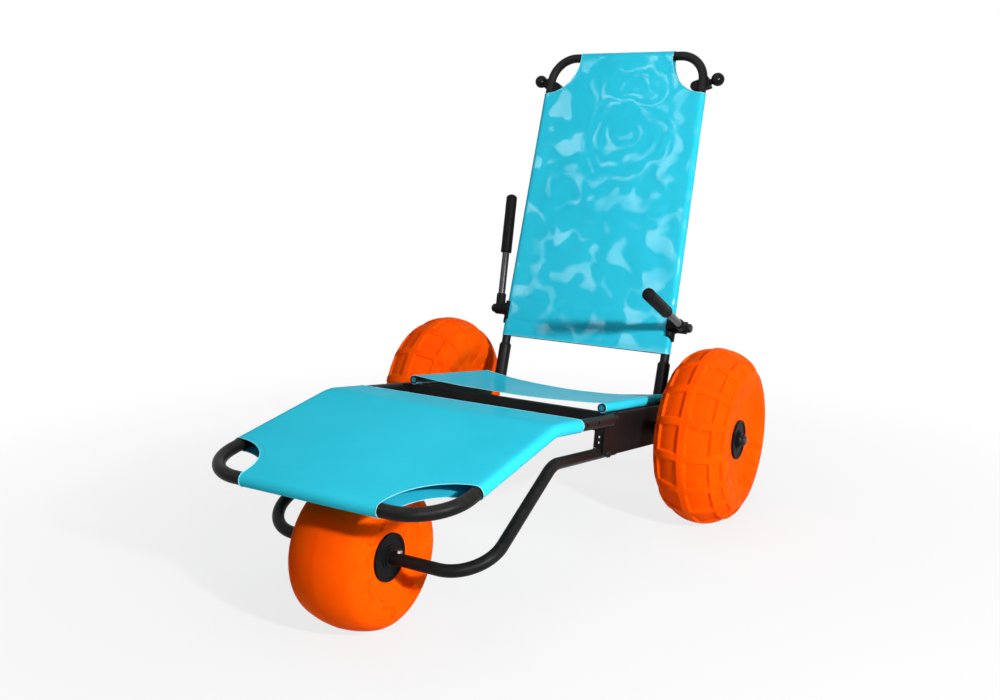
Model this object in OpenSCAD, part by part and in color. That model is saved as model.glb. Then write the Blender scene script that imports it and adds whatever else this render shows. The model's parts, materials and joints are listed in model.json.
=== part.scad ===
// Beach wheelchair: three hollow moulded wheels, a low chassis that leans back, and slings on tube frames.
// The front is -Y, the occupant's left is +X and the floor is z = 0. Sizes are millimetres and degrees.

/* [Wheels] */
// Diameter of a rear wheel over its cross ribs
rear_wheel_d = 464; // [450:2:480]
// Width of a rear wheel
rear_wheel_w = 190; // [180:2:200]
// Room between a side plate and a rear wheel
wheel_room = 39; // [36:1:60]
// Radius of the rear tread from side to side
rear_crown_r = 115; // [108:1:130]
// Radius of a rear wheel's shoulders
rear_shoulder_r = 68; // [60:1:74]
// Depth of the pockets in the rear tread
tread_depth = 6; // [3:0.5:8]
// Cross ribs round a rear wheel
tread_ribs = 16; // [12:2:20]
// Width of a cross rib along the tread
tread_rib_w = 19; // [12:1:24]
// Diameter of the front wheel
front_wheel_d = 326; // [316:2:336]
// Width of the front wheel
front_wheel_w = 186; // [178:2:192]
// Radius of the front tread from side to side
front_crown_r = 190; // [160:5:240]
// Radius of the front wheel's shoulders
front_shoulder_r = 42; // [36:1:48]
// Pockets round each side of the front wheel
side_pockets = 8; // [6:1:10]
// Depth of the pockets in the front wheel's sides
side_pocket_depth = 7; // [4:0.5:10]
// Wall of the hollow mouldings
wheel_wall = 6; // [4:0.5:8]
// Diameter of a hub disc
hub_d = 104; // [92:2:110]
// Thickness of a hub disc
hub_t = 6; // [4:0.5:8]
// How far a rear hub face lies inside the wheel's side
rear_hub_recess = 24; // [20:1:28]
// How far a front hub face lies inside the wheel's side
front_hub_recess = 28; // [22:1:32]
// Diameter of the axles
axle_d = 20; // [16:1:20]

/* [Chassis] */
// Distance from a backrest tube's axis out to a side plate's outer face
plate_beside = 34; // [30:1:40]
// Thickness of a side plate
plate_t = 4; // [3:0.5:5]
// Height of a plate's top above the rear axle
plate_top = 66; // [60:1:72]
// Depth of a plate below the rear axle
plate_drop = 38; // [34:1:44]
// How far a plate reaches ahead of the leg hinge
plate_ahead = 42; // [34:1:50]
// Length of a plate behind the rear axle
plate_rear = 45; // [38:1:60]
// Width of the flange folded in along a plate's top
plate_flange = 24; // [20:1:28]
// Height of the front cross bar
bar_h = 44; // [34:1:50]
// Depth of the front cross bar from front to back
bar_depth = 22; // [18:1:28]
// Diameter of the rear beam tube
beam_d = 38; // [34:1:42]
// Wall of the chassis tubes
tube_wall = 2.5; // [2:0.5:3]

/* [Seat] */
// How far the sling's loops stay inside the side plates' outer faces
seat_edge = 1.2; // [0.6:0.1:5]
// Diameter of a seat tube
seat_tube_d = 21; // [18:1:24]
// How far the seat tubes reach ahead of the side plates
seat_ahead = 5; // [0:1:12]
// How far the seat tubes' rear ends lie ahead of the rear axle
seat_rear = 8; // [6:1:30]
// Sag of the seat sling between its tubes
seat_sag = 13; // [6:0.5:13]
// Thickness of the sling fabric
fabric_t = 1.5; // [1:0.1:2]

/* [Fork] */
// Diameter of a fork tube
fork_d = 27; // [26:0.5:30]
// Distance between the fork tubes at their lower bends
fork_spread = 574; // [540:2:590]
// How far the upper bends lie ahead of the rear axle
fork_bend_reach = 619; // [590:1:640]
// How far the front axle lies ahead of the rear axle
wheelbase = 932; // [915:1:960]
// How far the front axle lies below the rear axle, square to the seat
fork_drop = 223; // [205:1:235]
// How far the fork's upper run lies below the rear axle
fork_low = 33; // [30:1:36]
// Bend radius of the fork tubes
fork_bend_r = 95; // [70:1:105]

/* [Leg rest] */
// Diameter of the leg frame's tube
leg_tube_d = 28; // [25:0.5:30]
// How far the leg hinge lies ahead of the rear axle
leg_hinge_reach = 346; // [335:1:355]
// Height of the leg hinge above the rear axle
leg_hinge_rise = 54; // [49:1:54]
// Length of a leg rail from the hinge to the knee
thigh_l = 352; // [330:1:370]
// Length of the leg frame from the knee to the foot tube
calf_l = 443; // [420:1:470]
// How far the leg frame turns down at the knee
knee_turn = 17.2; // [12:0.1:20]
// Bend radius at the knee
knee_r = 150; // [100:5:200]
// Bend radius of the foot corners
foot_corner_r = 108; // [70:1:112]
// Radius of the scoops in the leg sleeve's foot corners
foot_scoop_r = 130; // [122:1:145]
// Rail left bare between the hinge and the leg sleeve
bare_rail_l = 230; // [222:1:240]

/* [Backrest] */
// Distance between the backrest tubes in their sockets
back_span = 500; // [490:1:504]
// Distance between the backrest tubes at the top
back_top_span = 472; // [460:1:490]
// Diameter of the backrest tube
back_tube_d = 25; // [22:0.5:26]
// Angle between the seat and the backrest
back_angle = 98.5; // [95:0.5:105]
// Height of the backrest's top tube above its sockets
back_h = 868; // [820:1:900]
// Bend radius of the backrest's top corners
back_corner_r = 74; // [68:1:84]
// Radius of the scoops in the back sleeve's top corners
back_scoop_r = 106; // [100:1:114]
// Height of the back sleeve's hem above the sockets
hem_h = 24; // [16:1:40]
// Diameter of a backrest socket
socket_d = 34.6; // [32:0.2:35]
// Height of a socket above the plates, along the upright
socket_up = 107; // [95:1:115]
// Depth of a socket below the plates' tops, along the upright
socket_down = 38; // [34:1:40]
// How far the uprights stand behind the rear axle, level with the plates' tops
socket_behind = 33; // [31:1:40]

/* [Armrests] */
// Height of the arm pivots above the sockets
arm_h = 101; // [95:1:120]
// Length of an armrest from its pivot to its tip
arm_l = 348; // [320:1:370]
// Diameter of an arm tube
arm_tube_d = 21; // [19:0.5:22]
// Length of a grip
grip_l = 178; // [150:1:190]
// Diameter of a grip
grip_d = 33; // [30:0.5:36]
// How far an arm tube leans outwards
arm_splay = 3.6; // [0:0.1:5]
// How far an armrest turns from raised to lowered
arm_swing = 84; // [78:1:92]

/* [Top clamps] */
// Gap between a clamp and the edge of the sleeve's scoop
clamp_clear = 3; // [2:0.5:8]
// Length of a clamp
clamp_l = 54; // [48:1:58]
// Width of a clamp along the tube
clamp_w = 28; // [24:1:30]
// Lean of a clamp's axis from level
clamp_lean = 20; // [12:1:22]
// Diameter of a ball knob
ball_d = 37; // [32:1:40]
// Distance from the tube to the middle of a ball knob
ball_reach = 42; // [40:1:46]

/* [Hidden] */
$fn = 96;
// Running clearance on the radius of a pin or shaft
run = 0.05;
// Gap between faces that stay apart
gap = 0.3;
// Spare length of a cutting shape
over = 1;
// A bend is swollen a little against its straight runs, which reach this far into it
swell = 0.05;
lap = 0.5;

rear_r = rear_wheel_d / 2;
front_r = front_wheel_d / 2;
// Turn of a wheel's surface from the middle of its tread to each edge of its ribs and pockets
centre_rib_turn = 5.4;
pocket_end_turn = 37;
side_rib_turn = 42;
shoulder_end_turn = 70;
pocket_draft = 1.2;
side_end_turn = 125;
front_side_end_turn = 120;
tread_rib_turn = tread_rib_w / rear_r * 180 / PI;
// The rings round the tread stay a little lower than the cross ribs
ring_drop = 0.4;

bush_wall = 5;
bush_flange_t = 2.5;
bush_d = axle_d + 2 * bush_wall;
bush_flange_d = bush_d + 10;
spigot_wall = 7;
spigot_l = 30;
hub_bore_d = bush_d + 2 * spigot_wall;
hub_core_wall = 7;
washer_t = 2.5;
nut_h = 12;
rear_hub_x = rear_wheel_w / 2 - rear_hub_recess;
front_hub_x = front_wheel_w / 2 - front_hub_recess;
// Distance from a wheel's middle to the outside of its bush flange
rear_bush_end = rear_hub_x + hub_t + bush_flange_t;
front_bush_end = front_hub_x + hub_t + bush_flange_t;

// The chassis leans back so that all three wheels stand on the floor
axle_line = norm([wheelbase, fork_drop]);
tilt = asin((front_r - rear_r) / axle_line) + atan2(fork_drop, wheelbase);
recline = tilt + back_angle - 90;

plate_span = back_span + 2 * plate_beside;
plate_front = leg_hinge_reach + plate_ahead;
rear_track = plate_span + 2 * wheel_room + rear_wheel_w;
plate_out = plate_span / 2;
plate_in = plate_out - plate_t;
plate_corner_r = 16;
plate_fold_r = 8;
fork_x = plate_in - gap - fork_d / 2;
fork_lap = 98;
fork_rear = plate_front - fork_lap;
fork_bolt_back = 26;
fork_bolt_reach = plate_front - fork_bolt_back;
fork_end = front_bush_end + gap + 0.2;
fork_bore_gap = 0.4;
fork_id = axle_d + 2 * fork_bore_gap;
front_axle_grip = 45;
front_axle_l = 2 * (fork_end + front_axle_grip);

seat_loop_r = seat_tube_d / 2 + gap + fabric_t;
seat_rise = plate_top + seat_loop_r + gap;
seat_span = plate_span - 2 * (seat_edge + seat_loop_r);
seat_front = plate_front + seat_ahead;

leg_x = plate_out + 2 * gap + leg_tube_d / 2;
// A flat tab carries each rail's end on the hinge bolt; the tube is cut off at a slant against it
leg_tab_in = leg_x - leg_tube_d / 2 + 0.2;
leg_tab_t = 5;
leg_tab_reach = 80;
leg_tube_start = 24;
leg_slant = 52;
knee_reach = leg_hinge_reach + thigh_l;
foot_reach = knee_reach + calf_l * cos(knee_turn);
foot_rise = leg_hinge_rise - calf_l * sin(knee_turn);

socket_bore_d = back_tube_d + 2 * run;
socket_l = socket_up + socket_down;
socket_plug_t = 12;
tube_foot = -socket_l + socket_plug_t + gap;
// The uprights are parallel in the sockets and lean together from a slight bend just above them
kink_h = 12;
taper = atan2((back_span - back_top_span) / 2, back_h - kink_h);
// Backrest half-span at a height above the sockets
function back_x(h) = back_span / 2 - (h - kink_h) * tan(taper);
back_points = [[back_span / 2, 0, tube_foot], [back_span / 2, 0, kink_h], [back_top_span / 2, 0, back_h],
    [-back_top_span / 2, 0, back_h], [-back_span / 2, 0, kink_h], [-back_span / 2, 0, tube_foot]];
kink_r = 300;
back_radii = [kink_r, back_corner_r, back_corner_r, kink_r];

bolt_d = 10;
pin_d = 8;
arm_bolt_d = 10;
bracket_in_r = back_tube_d / 2 + 2 * gap + fabric_t;
bracket_t = 4.5;
bracket_up = 24;
bracket_down = 42;
boss_d = 28;
knuckle_d = 34;
knuckle_w = 22;
knuckle_x = back_x(arm_h) + bracket_in_r + bracket_t + 9 + gap;
arm_axis_x = knuckle_x + knuckle_w / 2;
arm_head_h = 14;
arm_head_d = boss_d - 3;
cross_tube_d = back_tube_d - 1;
stud_d = 8;

// Where the frame's origin lies between the foot and the top of the backrest
top_y = socket_behind * cos(tilt) + plate_top * sin(tilt) + (socket_up + back_h) * sin(recline);
sleeve_out = gap + fabric_t;
rear_edge = top_y + back_tube_d / 2 + sleeve_out;
front_edge = -foot_reach * cos(tilt) + foot_rise * sin(tilt) - leg_tube_d / 2 - sleeve_out;
axle_y = -(rear_edge + front_edge) / 2;

frame_black = [0.09, 0.09, 0.10];
plastic_black = [0.05, 0.05, 0.055];
steel = [0.62, 0.63, 0.65];
teal = [0.10, 0.72, 0.80];
orange = [0.95, 0.33, 0.05];
pale = [0.78, 0.80, 0.80];

// Frames that the pieces are drawn in

// Chassis frame: x across, y back and z up square to the seat, from the middle of the rear axle
module on_chassis() {
    translate([0, axle_y, rear_r])
        rotate([-tilt, 0, 0])
            children();
}

// Backrest frame: z up along the uprights from the sockets' tops
module on_back() {
    on_chassis()
        translate([0, socket_behind, plate_top])
            rotate([90 - back_angle, 0, 0])
                translate([0, 0, socket_up])
                    children();
}

// Draws on the left, or mirrored on the right
module on_side(side) {
    if (side > 0)
        children();
    else
        mirror([1, 0, 0])
            children();
}

module on_both_sides() {
    for (side = [1, -1])
        on_side(side)
            children();
}

// A rod or pin along x, from x0 to x1
module cross_rod(x0, x1, d) {
    translate([x0, 0, 0])
        rotate([0, 90, 0])
            cylinder(h = x1 - x0, d = d);
}

module cross_tube(x0, x1, d, bore) {
    difference() {
        cross_rod(x0, x1, d);
        cross_rod(x0 - over, x1 + over, bore);
    }
}

// Tubes that follow a row of points, with an arc at each inner point

function unit(v) = v / norm(v);
function run_way(points, i) = unit(points[i + 1] - points[i]);
function bend_turn(points, i) = acos(run_way(points, i - 1) * run_way(points, i));
function is_inner(points, i) = i > 0 && i < len(points) - 1;
function set_back(points, radii, i) = is_inner(points, i) ? radii[i - 1] * tan(bend_turn(points, i) / 2) : 0;
function across(way) = unit(abs(way.x) < 0.9 ? cross([1, 0, 0], way) : cross([0, 0, 1], way));
function placed(at, x, y, z) = [[x.x, y.x, z.x, at.x], [x.y, y.y, z.y, at.y], [x.z, y.z, z.z, at.z], [0, 0, 0, 1]];

module bent_rod(points, radii, d) {
    for (i = [0 : len(points) - 2]) {
        way = run_way(points, i);
        side = across(way);
        start = points[i] + way * (set_back(points, radii, i) - (is_inner(points, i) ? lap : 0));
        end = points[i + 1] - way * (set_back(points, radii, i + 1) - (is_inner(points, i + 1) ? lap : 0));
        multmatrix(placed(start, side, cross(way, side), way))
            cylinder(h = norm(end - start), d = d);
    }
    for (i = [1 : len(points) - 2]) {
        way = run_way(points, i - 1);
        axis = unit(cross(way, run_way(points, i)));
        out = cross(way, axis);
        start = points[i] - way * set_back(points, radii, i);
        multmatrix(placed(start - out * radii[i - 1], out, way, axis))
            rotate_extrude(angle = bend_turn(points, i))
                translate([radii[i - 1], 0])
                    circle(d = d + 2 * swell);
    }
}

// The same points with both ends drawn out by a length
function drawn_out(points, by) = let (last = len(points) - 1)
    [for (i = [0 : last]) i == 0 ? points[0] - run_way(points, 0) * by
        : i == last ? points[last] + run_way(points, last - 1) * by : points[i]];

module bent_tube(points, radii, d, bore) {
    difference() {
        bent_rod(points, radii, d);
        bent_rod(drawn_out(points, over), radii, bore);
    }
}

// Chassis

module side_plate(side) {
    color(frame_black)
        on_chassis()
            on_side(side)
                difference() {
                    union() {
                        plate_web();
                        plate_top_flange();
                    }
                    cross_rod(0, plate_span, axle_d + gap);
                    translate([0, -leg_hinge_reach, leg_hinge_rise])
                        cross_rod(0, plate_span, pin_d + gap);
                    translate([0, -fork_bolt_reach, -fork_low])
                        cross_rod(0, plate_span, bolt_d + gap);
                    translate([0, -leg_stop_reach, leg_stop_rise])
                        cross_rod(0, plate_span, pin_d + gap);
                }
}

// The plate's flat side, up to the fold, with rounded lower corners
module plate_web() {
    long = plate_front + plate_rear;
    r = plate_corner_r;
    translate([plate_in, plate_rear, -plate_drop])
        rotate([90, 0, 90])
            linear_extrude(plate_t)
                mirror([1, 0])
                    union() {
                        translate([0, r])
                            square([long, plate_top + plate_drop - plate_fold_r - r]);
                        translate([r, 0])
                            square([long - 2 * r, r + over]);
                        for (at = [r, long - r])
                            translate([at, r])
                                circle(r);
                    }
}

// The fold along the top, from the cross bar back to the axle
module plate_top_flange() {
    start = -plate_front + bar_depth + gap;
    translate([0, start, 0])
        rotate([90, 0, 180])
            mirror([1, 0, 0])
                linear_extrude(-start)
                    union() {
                        translate([plate_out - plate_flange, plate_top - plate_t])
                            square([plate_flange - plate_fold_r, plate_t]);
                        translate([plate_out - plate_fold_r, plate_top - plate_fold_r])
                            intersection() {
                                difference() {
                                    circle(plate_fold_r);
                                    circle(plate_fold_r - plate_t);
                                }
                                square(plate_fold_r);
                            }
                    }
}

module side_plate_left() { side_plate(1); }
module side_plate_right() { side_plate(-1); }

module front_cross_bar() {
    width = 2 * plate_in;
    color(frame_black)
        on_chassis()
            translate([0, -plate_front, plate_top - bar_h])
                difference() {
                    translate([-width / 2, 0, 0])
                        cube([width, bar_depth, bar_h]);
                    translate([-width / 2 - over, tube_wall, tube_wall])
                        cube([width + 2 * over, bar_depth - 2 * tube_wall, bar_h - 2 * tube_wall]);
                }
}

// Short channels from the cross bar down to the fork tubes, slotted at the front
module fork_struts() {
    foot = -fork_low + fork_d / 2 + gap;
    head = plate_top - bar_h;
    width = 20;
    slot_h = 5;
    color(frame_black)
        on_chassis()
            on_both_sides()
                translate([fork_x - width / 2, -plate_front, foot])
                    difference() {
                        cube([width, bar_depth, head - foot]);
                        translate([tube_wall, tube_wall, -over])
                            cube([width - 2 * tube_wall, bar_depth, head - foot + 2 * over]);
                        for (share = [1, 2])
                            translate([2 * tube_wall, -over, share * (head - foot) / 3 - slot_h / 2])
                                cube([width - 4 * tube_wall, tube_wall + 2 * over, slot_h]);
                    }
}

module rear_beam() {
    color(frame_black)
        on_chassis()
            cross_tube(-plate_in, plate_in, beam_d, axle_d + gap);
}

module rear_axle() {
    reach = rear_track / 2 + rear_bush_end + gap + washer_t + nut_h / 2;
    color(steel)
        on_chassis()
            cross_rod(-reach, reach, axle_d);
}

module axle_spacers() {
    color(plastic_black)
        on_chassis()
            on_both_sides()
                cross_tube(plate_out, rear_track / 2 - rear_bush_end - gap, bush_d, axle_d + gap);
}

module axle_washers() {
    start = rear_track / 2 + rear_bush_end + gap;
    color(steel)
        on_chassis()
            on_both_sides()
                cross_tube(start, start + washer_t, bush_flange_d - 2, axle_d + gap);
}

// Domed nuts on the axle's ends
module axle_nuts() {
    start = rear_track / 2 + rear_bush_end + gap + washer_t;
    flat_h = nut_h * 2 / 3;
    color(plastic_black)
        on_chassis()
            on_both_sides()
                difference() {
                    translate([start, 0, 0])
                        rotate([0, 90, 0])
                            union() {
                                cylinder(h = flat_h, d = axle_d + 14, $fn = 6);
                                cylinder(h = nut_h, d1 = axle_d + 14, d2 = axle_d);
                            }
                    cross_rod(start - over, start + nut_h / 2, axle_d + 2 * run);
                }
}

// Seat

module seat_tube(side) {
    color(frame_black)
        on_chassis()
            on_side(side)
                translate([seat_span / 2, -seat_rear, seat_rise])
                    rotate([90, 0, 0])
                        difference() {
                            cylinder(h = seat_front - seat_rear, d = seat_tube_d);
                            translate([0, 0, -over])
                                cylinder(h = seat_front + 2 * over, d = seat_tube_d - 2 * tube_wall);
                        }
}

module seat_tube_left() { seat_tube(1); }
module seat_tube_right() { seat_tube(-1); }

// Pale plugs in all four seat tube ends
module seat_tube_plugs() {
    plug_l = 18;
    inset = 1.5;
    color(pale)
        on_chassis()
            on_both_sides()
                for (back = [seat_rear + inset, seat_front - plug_l - inset])
                    translate([seat_span / 2, -back, seat_rise])
                        rotate([90, 0, 0])
                            cylinder(h = plug_l, d = seat_tube_d - 2 * tube_wall - gap);
}

// Fabric that hangs in a shallow arc and goes round both seat tubes
module seat_sling() {
    half = seat_span / 2;
    loop_in = seat_loop_r - fabric_t;
    arc_r = (half * half + seat_sag * seat_sag) / (2 * seat_sag);
    arc_drop = loop_in * 0.3;
    hem = 3;
    color(teal)
        on_chassis()
            translate([0, -seat_rear - hem, seat_rise])
                rotate([90, 0, 0])
                    linear_extrude(seat_front - seat_rear - 2 * hem)
                        difference() {
                            union() {
                                intersection() {
                                    translate([0, arc_r - seat_sag + arc_drop])
                                        difference() {
                                            circle(arc_r + fabric_t, $fn = 960);
                                            circle(arc_r, $fn = 960);
                                        }
                                    translate([-half, -seat_sag - seat_loop_r])
                                        square([2 * half, seat_sag + 2 * seat_loop_r]);
                                }
                                for (side = [1, -1])
                                    translate([side * half, 0])
                                        circle(seat_loop_r);
                            }
                            for (side = [1, -1])
                                translate([side * half, 0])
                                    circle(loop_in);
                        }
}

// Backrest sockets

module back_socket(side) {
    lug_h = 34;
    lug_t = 18;
    chamfer = 5;
    color(frame_black)
        on_back()
            on_side(side)
                difference() {
                    union() {
                        translate([back_span / 2, 0, -socket_l])
                            cylinder(h = socket_l - chamfer, d = socket_d);
                        translate([back_span / 2, 0, -chamfer])
                            cylinder(h = chamfer, d1 = socket_d, d2 = socket_d - chamfer);
                        translate([back_span / 2, -lug_t / 2, -socket_l])
                            cube([plate_in - back_span / 2, lug_t, lug_h]);
                    }
                    translate([back_span / 2, 0, -socket_l - over])
                        cylinder(h = socket_l + 2 * over, d = socket_bore_d);
                }
}

module back_socket_left() { back_socket(1); }
module back_socket_right() { back_socket(-1); }

module socket_plugs() {
    color(plastic_black)
        on_back()
            on_both_sides()
                translate([back_span / 2, 0, -socket_l])
                    cylinder(h = socket_plug_t, d = back_tube_d);
}

// Fork

fork_points = [[fork_x, -fork_rear, -fork_low], [fork_x, -fork_bend_reach, -fork_low],
    [fork_spread / 2, -wheelbase, -fork_drop], [fork_end, -wheelbase, -fork_drop]];

module fork_tube(side) {
    color(frame_black)
        on_chassis()
            on_side(side)
                difference() {
                    bent_tube(fork_points, [fork_bend_r, fork_bend_r], fork_d, fork_id);
                    translate([0, -fork_bolt_reach, -fork_low])
                        cross_rod(0, plate_span, bolt_d + gap);
                    translate([clamp_bolt_x, -wheelbase, -fork_drop])
                        cylinder(h = fork_d, d = pin_d + gap);
                }
}

module fork_tube_left() { fork_tube(1); }
module fork_tube_right() { fork_tube(-1); }

module fork_tube_plugs() {
    color(plastic_black)
        on_chassis()
            on_both_sides()
                translate([fork_x, -fork_rear, -fork_low])
                    rotate([90, 0, 0]) {
                        cylinder(h = 16, d = fork_id - gap);
                        translate([0, 0, -3])
                            cylinder(h = 3, d1 = fork_d - 6, d2 = fork_d);
                    }
}

// A bolt along x with its head outside: the shank runs from x0 to x1, the nut sits at x0
module cross_bolt(x0, x1, d, head_h) {
    cross_rod(x0, x1, d);
    translate([x1, 0, 0])
        rotate([0, 90, 0])
            cylinder(h = head_h, d1 = 1.9 * d, d2 = 1.5 * d);
    translate([x0, 0, 0])
        rotate([0, 90, 0])
            cylinder(h = 0.7 * d, d = 1.8 * d, $fn = 6);
}

module fork_bolts() {
    inside = fork_x - fork_d / 2 - gap - 0.7 * bolt_d;
    color(steel)
        on_chassis()
            on_both_sides()
                translate([0, -fork_bolt_reach, -fork_low])
                    cross_bolt(inside, plate_out + gap, bolt_d, 6);
}

clamp_bolt_x = fork_end + 16;

module front_axle() {
    color(steel)
        on_chassis()
            translate([0, -wheelbase, -fork_drop])
                cross_rod(-front_axle_l / 2, front_axle_l / 2, axle_d);
}

// Bolts that clamp the front axle in the fork ends
module fork_clamp_bolts() {
    head_h = 5;
    color(steel)
        on_chassis()
            on_both_sides()
                translate([clamp_bolt_x, -wheelbase, -fork_drop + axle_d / 2]) {
                    cylinder(h = (fork_d - axle_d) / 2 + gap, d = pin_d);
                    translate([0, 0, (fork_d - axle_d) / 2 + gap])
                        cylinder(h = head_h, d = 1.6 * pin_d);
                }
}

// Leg rest

leg_stop_reach = plate_front - 12;
leg_stop_rise = leg_hinge_rise - leg_tube_d / 2 - gap - pin_d / 2;

// A collar on each hinge bolt holds its nut clear of the plate's folded edge
module leg_hinge_bolts() {
    nut_in = plate_in - gap - (plate_fold_r - plate_t) - 0.7 * pin_d;
    color(steel)
        on_chassis()
            on_both_sides()
                translate([0, -leg_hinge_reach, leg_hinge_rise]) {
                    cross_bolt(nut_in, leg_tab_in + leg_tab_t + gap, pin_d, 6);
                    cross_rod(nut_in + 0.3 * pin_d, plate_in - gap, 1.3 * pin_d);
                }
}

// Pins under the rails' tabs that hold the leg rest at its lowest
module leg_stop_pins() {
    color(steel)
        on_chassis()
            on_both_sides()
                translate([0, -leg_stop_reach, leg_stop_rise])
                    cross_rod(plate_in - 3, leg_tab_in + leg_tab_t, pin_d);
}

leg_points = [[leg_x, -leg_hinge_reach - leg_tube_start, leg_hinge_rise], [leg_x, -knee_reach, leg_hinge_rise],
    [leg_x, -foot_reach, foot_rise], [-leg_x, -foot_reach, foot_rise], [-leg_x, -knee_reach, leg_hinge_rise],
    [-leg_x, -leg_hinge_reach - leg_tube_start, leg_hinge_rise]];
leg_radii = [knee_r, foot_corner_r, foot_corner_r, knee_r];
leg_hole_d = 8;
// Distances ahead of the hinge of the spare holes across the rails
leg_holes = [146, 210];
// The holes slope up towards the outside, so that a pin dropped in stays there
leg_hole_slope = 12;

module leg_frame() {
    color(frame_black)
        on_chassis()
            difference() {
                union() {
                    difference() {
                        bent_tube(leg_points, leg_radii, leg_tube_d, leg_tube_d - 2 * tube_wall);
                        on_both_sides()
                            slant_cut();
                    }
                    on_both_sides()
                        leg_tab();
                }
                translate([0, -leg_hinge_reach, leg_hinge_rise])
                    cross_rod(-plate_span, plate_span, pin_d + 2 * run);
                for (ahead = leg_holes)
                    on_both_sides()
                        translate([leg_x, -leg_hinge_reach - ahead, leg_hinge_rise])
                            rotate([0, -leg_hole_slope, 0])
                                cross_rod(-leg_tube_d, leg_tube_d, leg_hole_d);
            }
}

// Flat tab from the hinge bolt into the tube's inner side
module leg_tab() {
    translate([leg_tab_in, -leg_hinge_reach, leg_hinge_rise])
        rotate([0, 90, 0])
            linear_extrude(leg_tab_t)
                union() {
                    circle(d = leg_tube_d);
                    translate([-leg_tube_d / 2, -leg_tab_reach + leg_tube_d / 2])
                        square([leg_tube_d, leg_tab_reach - leg_tube_d / 2]);
                }
}

// Takes the outer corner off a rail's end, at a slant from the tab
module slant_cut() {
    size = 4 * leg_tube_d;
    translate([leg_tab_in + leg_tab_t, -leg_hinge_reach - leg_tube_start, leg_hinge_rise])
        rotate([0, 0, -leg_slant])
            translate([-size / 2, 0, -size / 2])
                cube([2 * size, size, size]);
}

// Plugs that close the slanted ends
module leg_frame_plugs() {
    plug_l = leg_tube_d + leg_tab_t;
    color(plastic_black)
        on_chassis()
            on_both_sides()
                difference() {
                    translate([leg_x, -leg_hinge_reach - leg_tube_start, leg_hinge_rise])
                        rotate([90, 0, 0])
                            cylinder(h = plug_l, d = leg_tube_d - 2 * tube_wall - gap);
                    slant_cut();
                    translate([leg_tab_in - leg_tube_d, -leg_hinge_reach - leg_tab_reach, leg_hinge_rise - leg_tube_d])
                        cube([leg_tube_d + leg_tab_t + gap, leg_tab_reach, 2 * leg_tube_d]);
                }
}

// Cross-section of a flat double-layer sleeve round two tubes
module sleeve_section(half, tube_d, off) {
    square([2 * half, tube_d + 2 * off - 2 * gap], center = true);
    for (side = [1, -1])
        translate([side * half, 0])
            circle(d = tube_d + 2 * off);
}

// Solid form of the leg sleeve, grown from the tube's surface by an amount, with spare length at its ends
module leg_sleeve_form(off, spare) {
    knee_run = knee_r * tan(knee_turn / 2) - lap;
    start = bare_rail_l - spare;
    translate([0, -leg_hinge_reach - start, leg_hinge_rise])
        rotate([90, 0, 0])
            linear_extrude(thigh_l - knee_run - start)
                sleeve_section(leg_x, leg_tube_d, off);
    translate([0, -knee_reach + knee_run + lap, leg_hinge_rise - knee_r])
        rotate([90, 0, 90])
            rotate([0, 0, 90])
                rotate_extrude(angle = knee_turn)
                    translate([knee_r, 0])
                        rotate(90)
                            sleeve_section(leg_x, leg_tube_d, off + swell);
    on_calf()
        translate([0, -knee_run, 0])
            rotate([90, 0, 0])
                linear_extrude(calf_l - knee_run)
                    sleeve_section(leg_x, leg_tube_d, off);
    on_calf()
        translate([0, -calf_l, 0])
            cross_rod(-leg_x + foot_scoop_r / 2, leg_x - foot_scoop_r / 2, leg_tube_d + 2 * off);
}

// Frame of the lower leg: y runs back up the leg from the knee, z square to the sling
module on_calf() {
    translate([0, -knee_reach, leg_hinge_rise])
        rotate([knee_turn, 0, 0])
            children();
}

module leg_sleeve() {
    color(teal)
        on_chassis()
            difference() {
                leg_sleeve_form(gap + fabric_t, 0);
                leg_sleeve_form(gap, over);
                on_calf()
                    for (side = [1, -1])
                        translate([side * leg_x, -calf_l, -leg_tube_d])
                            cylinder(h = 2 * leg_tube_d, r = foot_scoop_r);
            }
}

// Backrest

module back_frame() {
    color(frame_black)
        on_back()
            difference() {
                bent_tube(back_points, back_radii, back_tube_d, back_tube_d - 2 * tube_wall);
                translate([0, 0, arm_h])
                    cross_rod(-plate_span, plate_span, arm_bolt_d + gap);
            }
}

module back_cross_tube() {
    color(frame_black)
        on_back()
            difference() {
                translate([0, 0, arm_h])
                    cross_tube(-back_x(arm_h), back_x(arm_h), cross_tube_d, cross_tube_d - 2 * tube_wall);
                on_both_sides()
                    translate([back_x(0), 0, 0])
                        rotate([0, -taper, 0])
                            cylinder(h = 2 * arm_h, d = back_tube_d + 2 * gap);
            }
}

module cross_tube_plugs() {
    end = back_x(arm_h) - back_tube_d / 2 - gap;
    plug_l = 26;
    color(plastic_black)
        on_back()
            on_both_sides()
                translate([0, 0, arm_h])
                    cross_tube(end - plug_l, end - gap, cross_tube_d - 2 * tube_wall - gap, arm_bolt_d + gap);
}

// Solid form of the back sleeve, grown from the tube's surface by an amount
module back_sleeve_form(off) {
    half_t = back_tube_d / 2 + off - gap;
    foot = hem_h - back_tube_d;
    rotate([90, 0, 0])
        translate([0, 0, -half_t])
            linear_extrude(2 * half_t)
                polygon([[-back_x(foot), foot], [back_x(foot), foot], [back_top_span / 2, back_h],
                    [-back_top_span / 2, back_h]]);
    short = back_scoop_r / 2;
    on_both_sides()
        translate([back_x(foot), 0, foot])
            rotate([0, -taper, 0])
                cylinder(h = back_h - foot - short, d = back_tube_d + 2 * off);
    translate([0, 0, back_h])
        cross_rod(-back_top_span / 2 + short, back_top_span / 2 - short, back_tube_d + 2 * off);
}

// Middle of a top scoop, from the frame's corner
scoop_out = 13;
scoop_down = 5;

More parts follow.
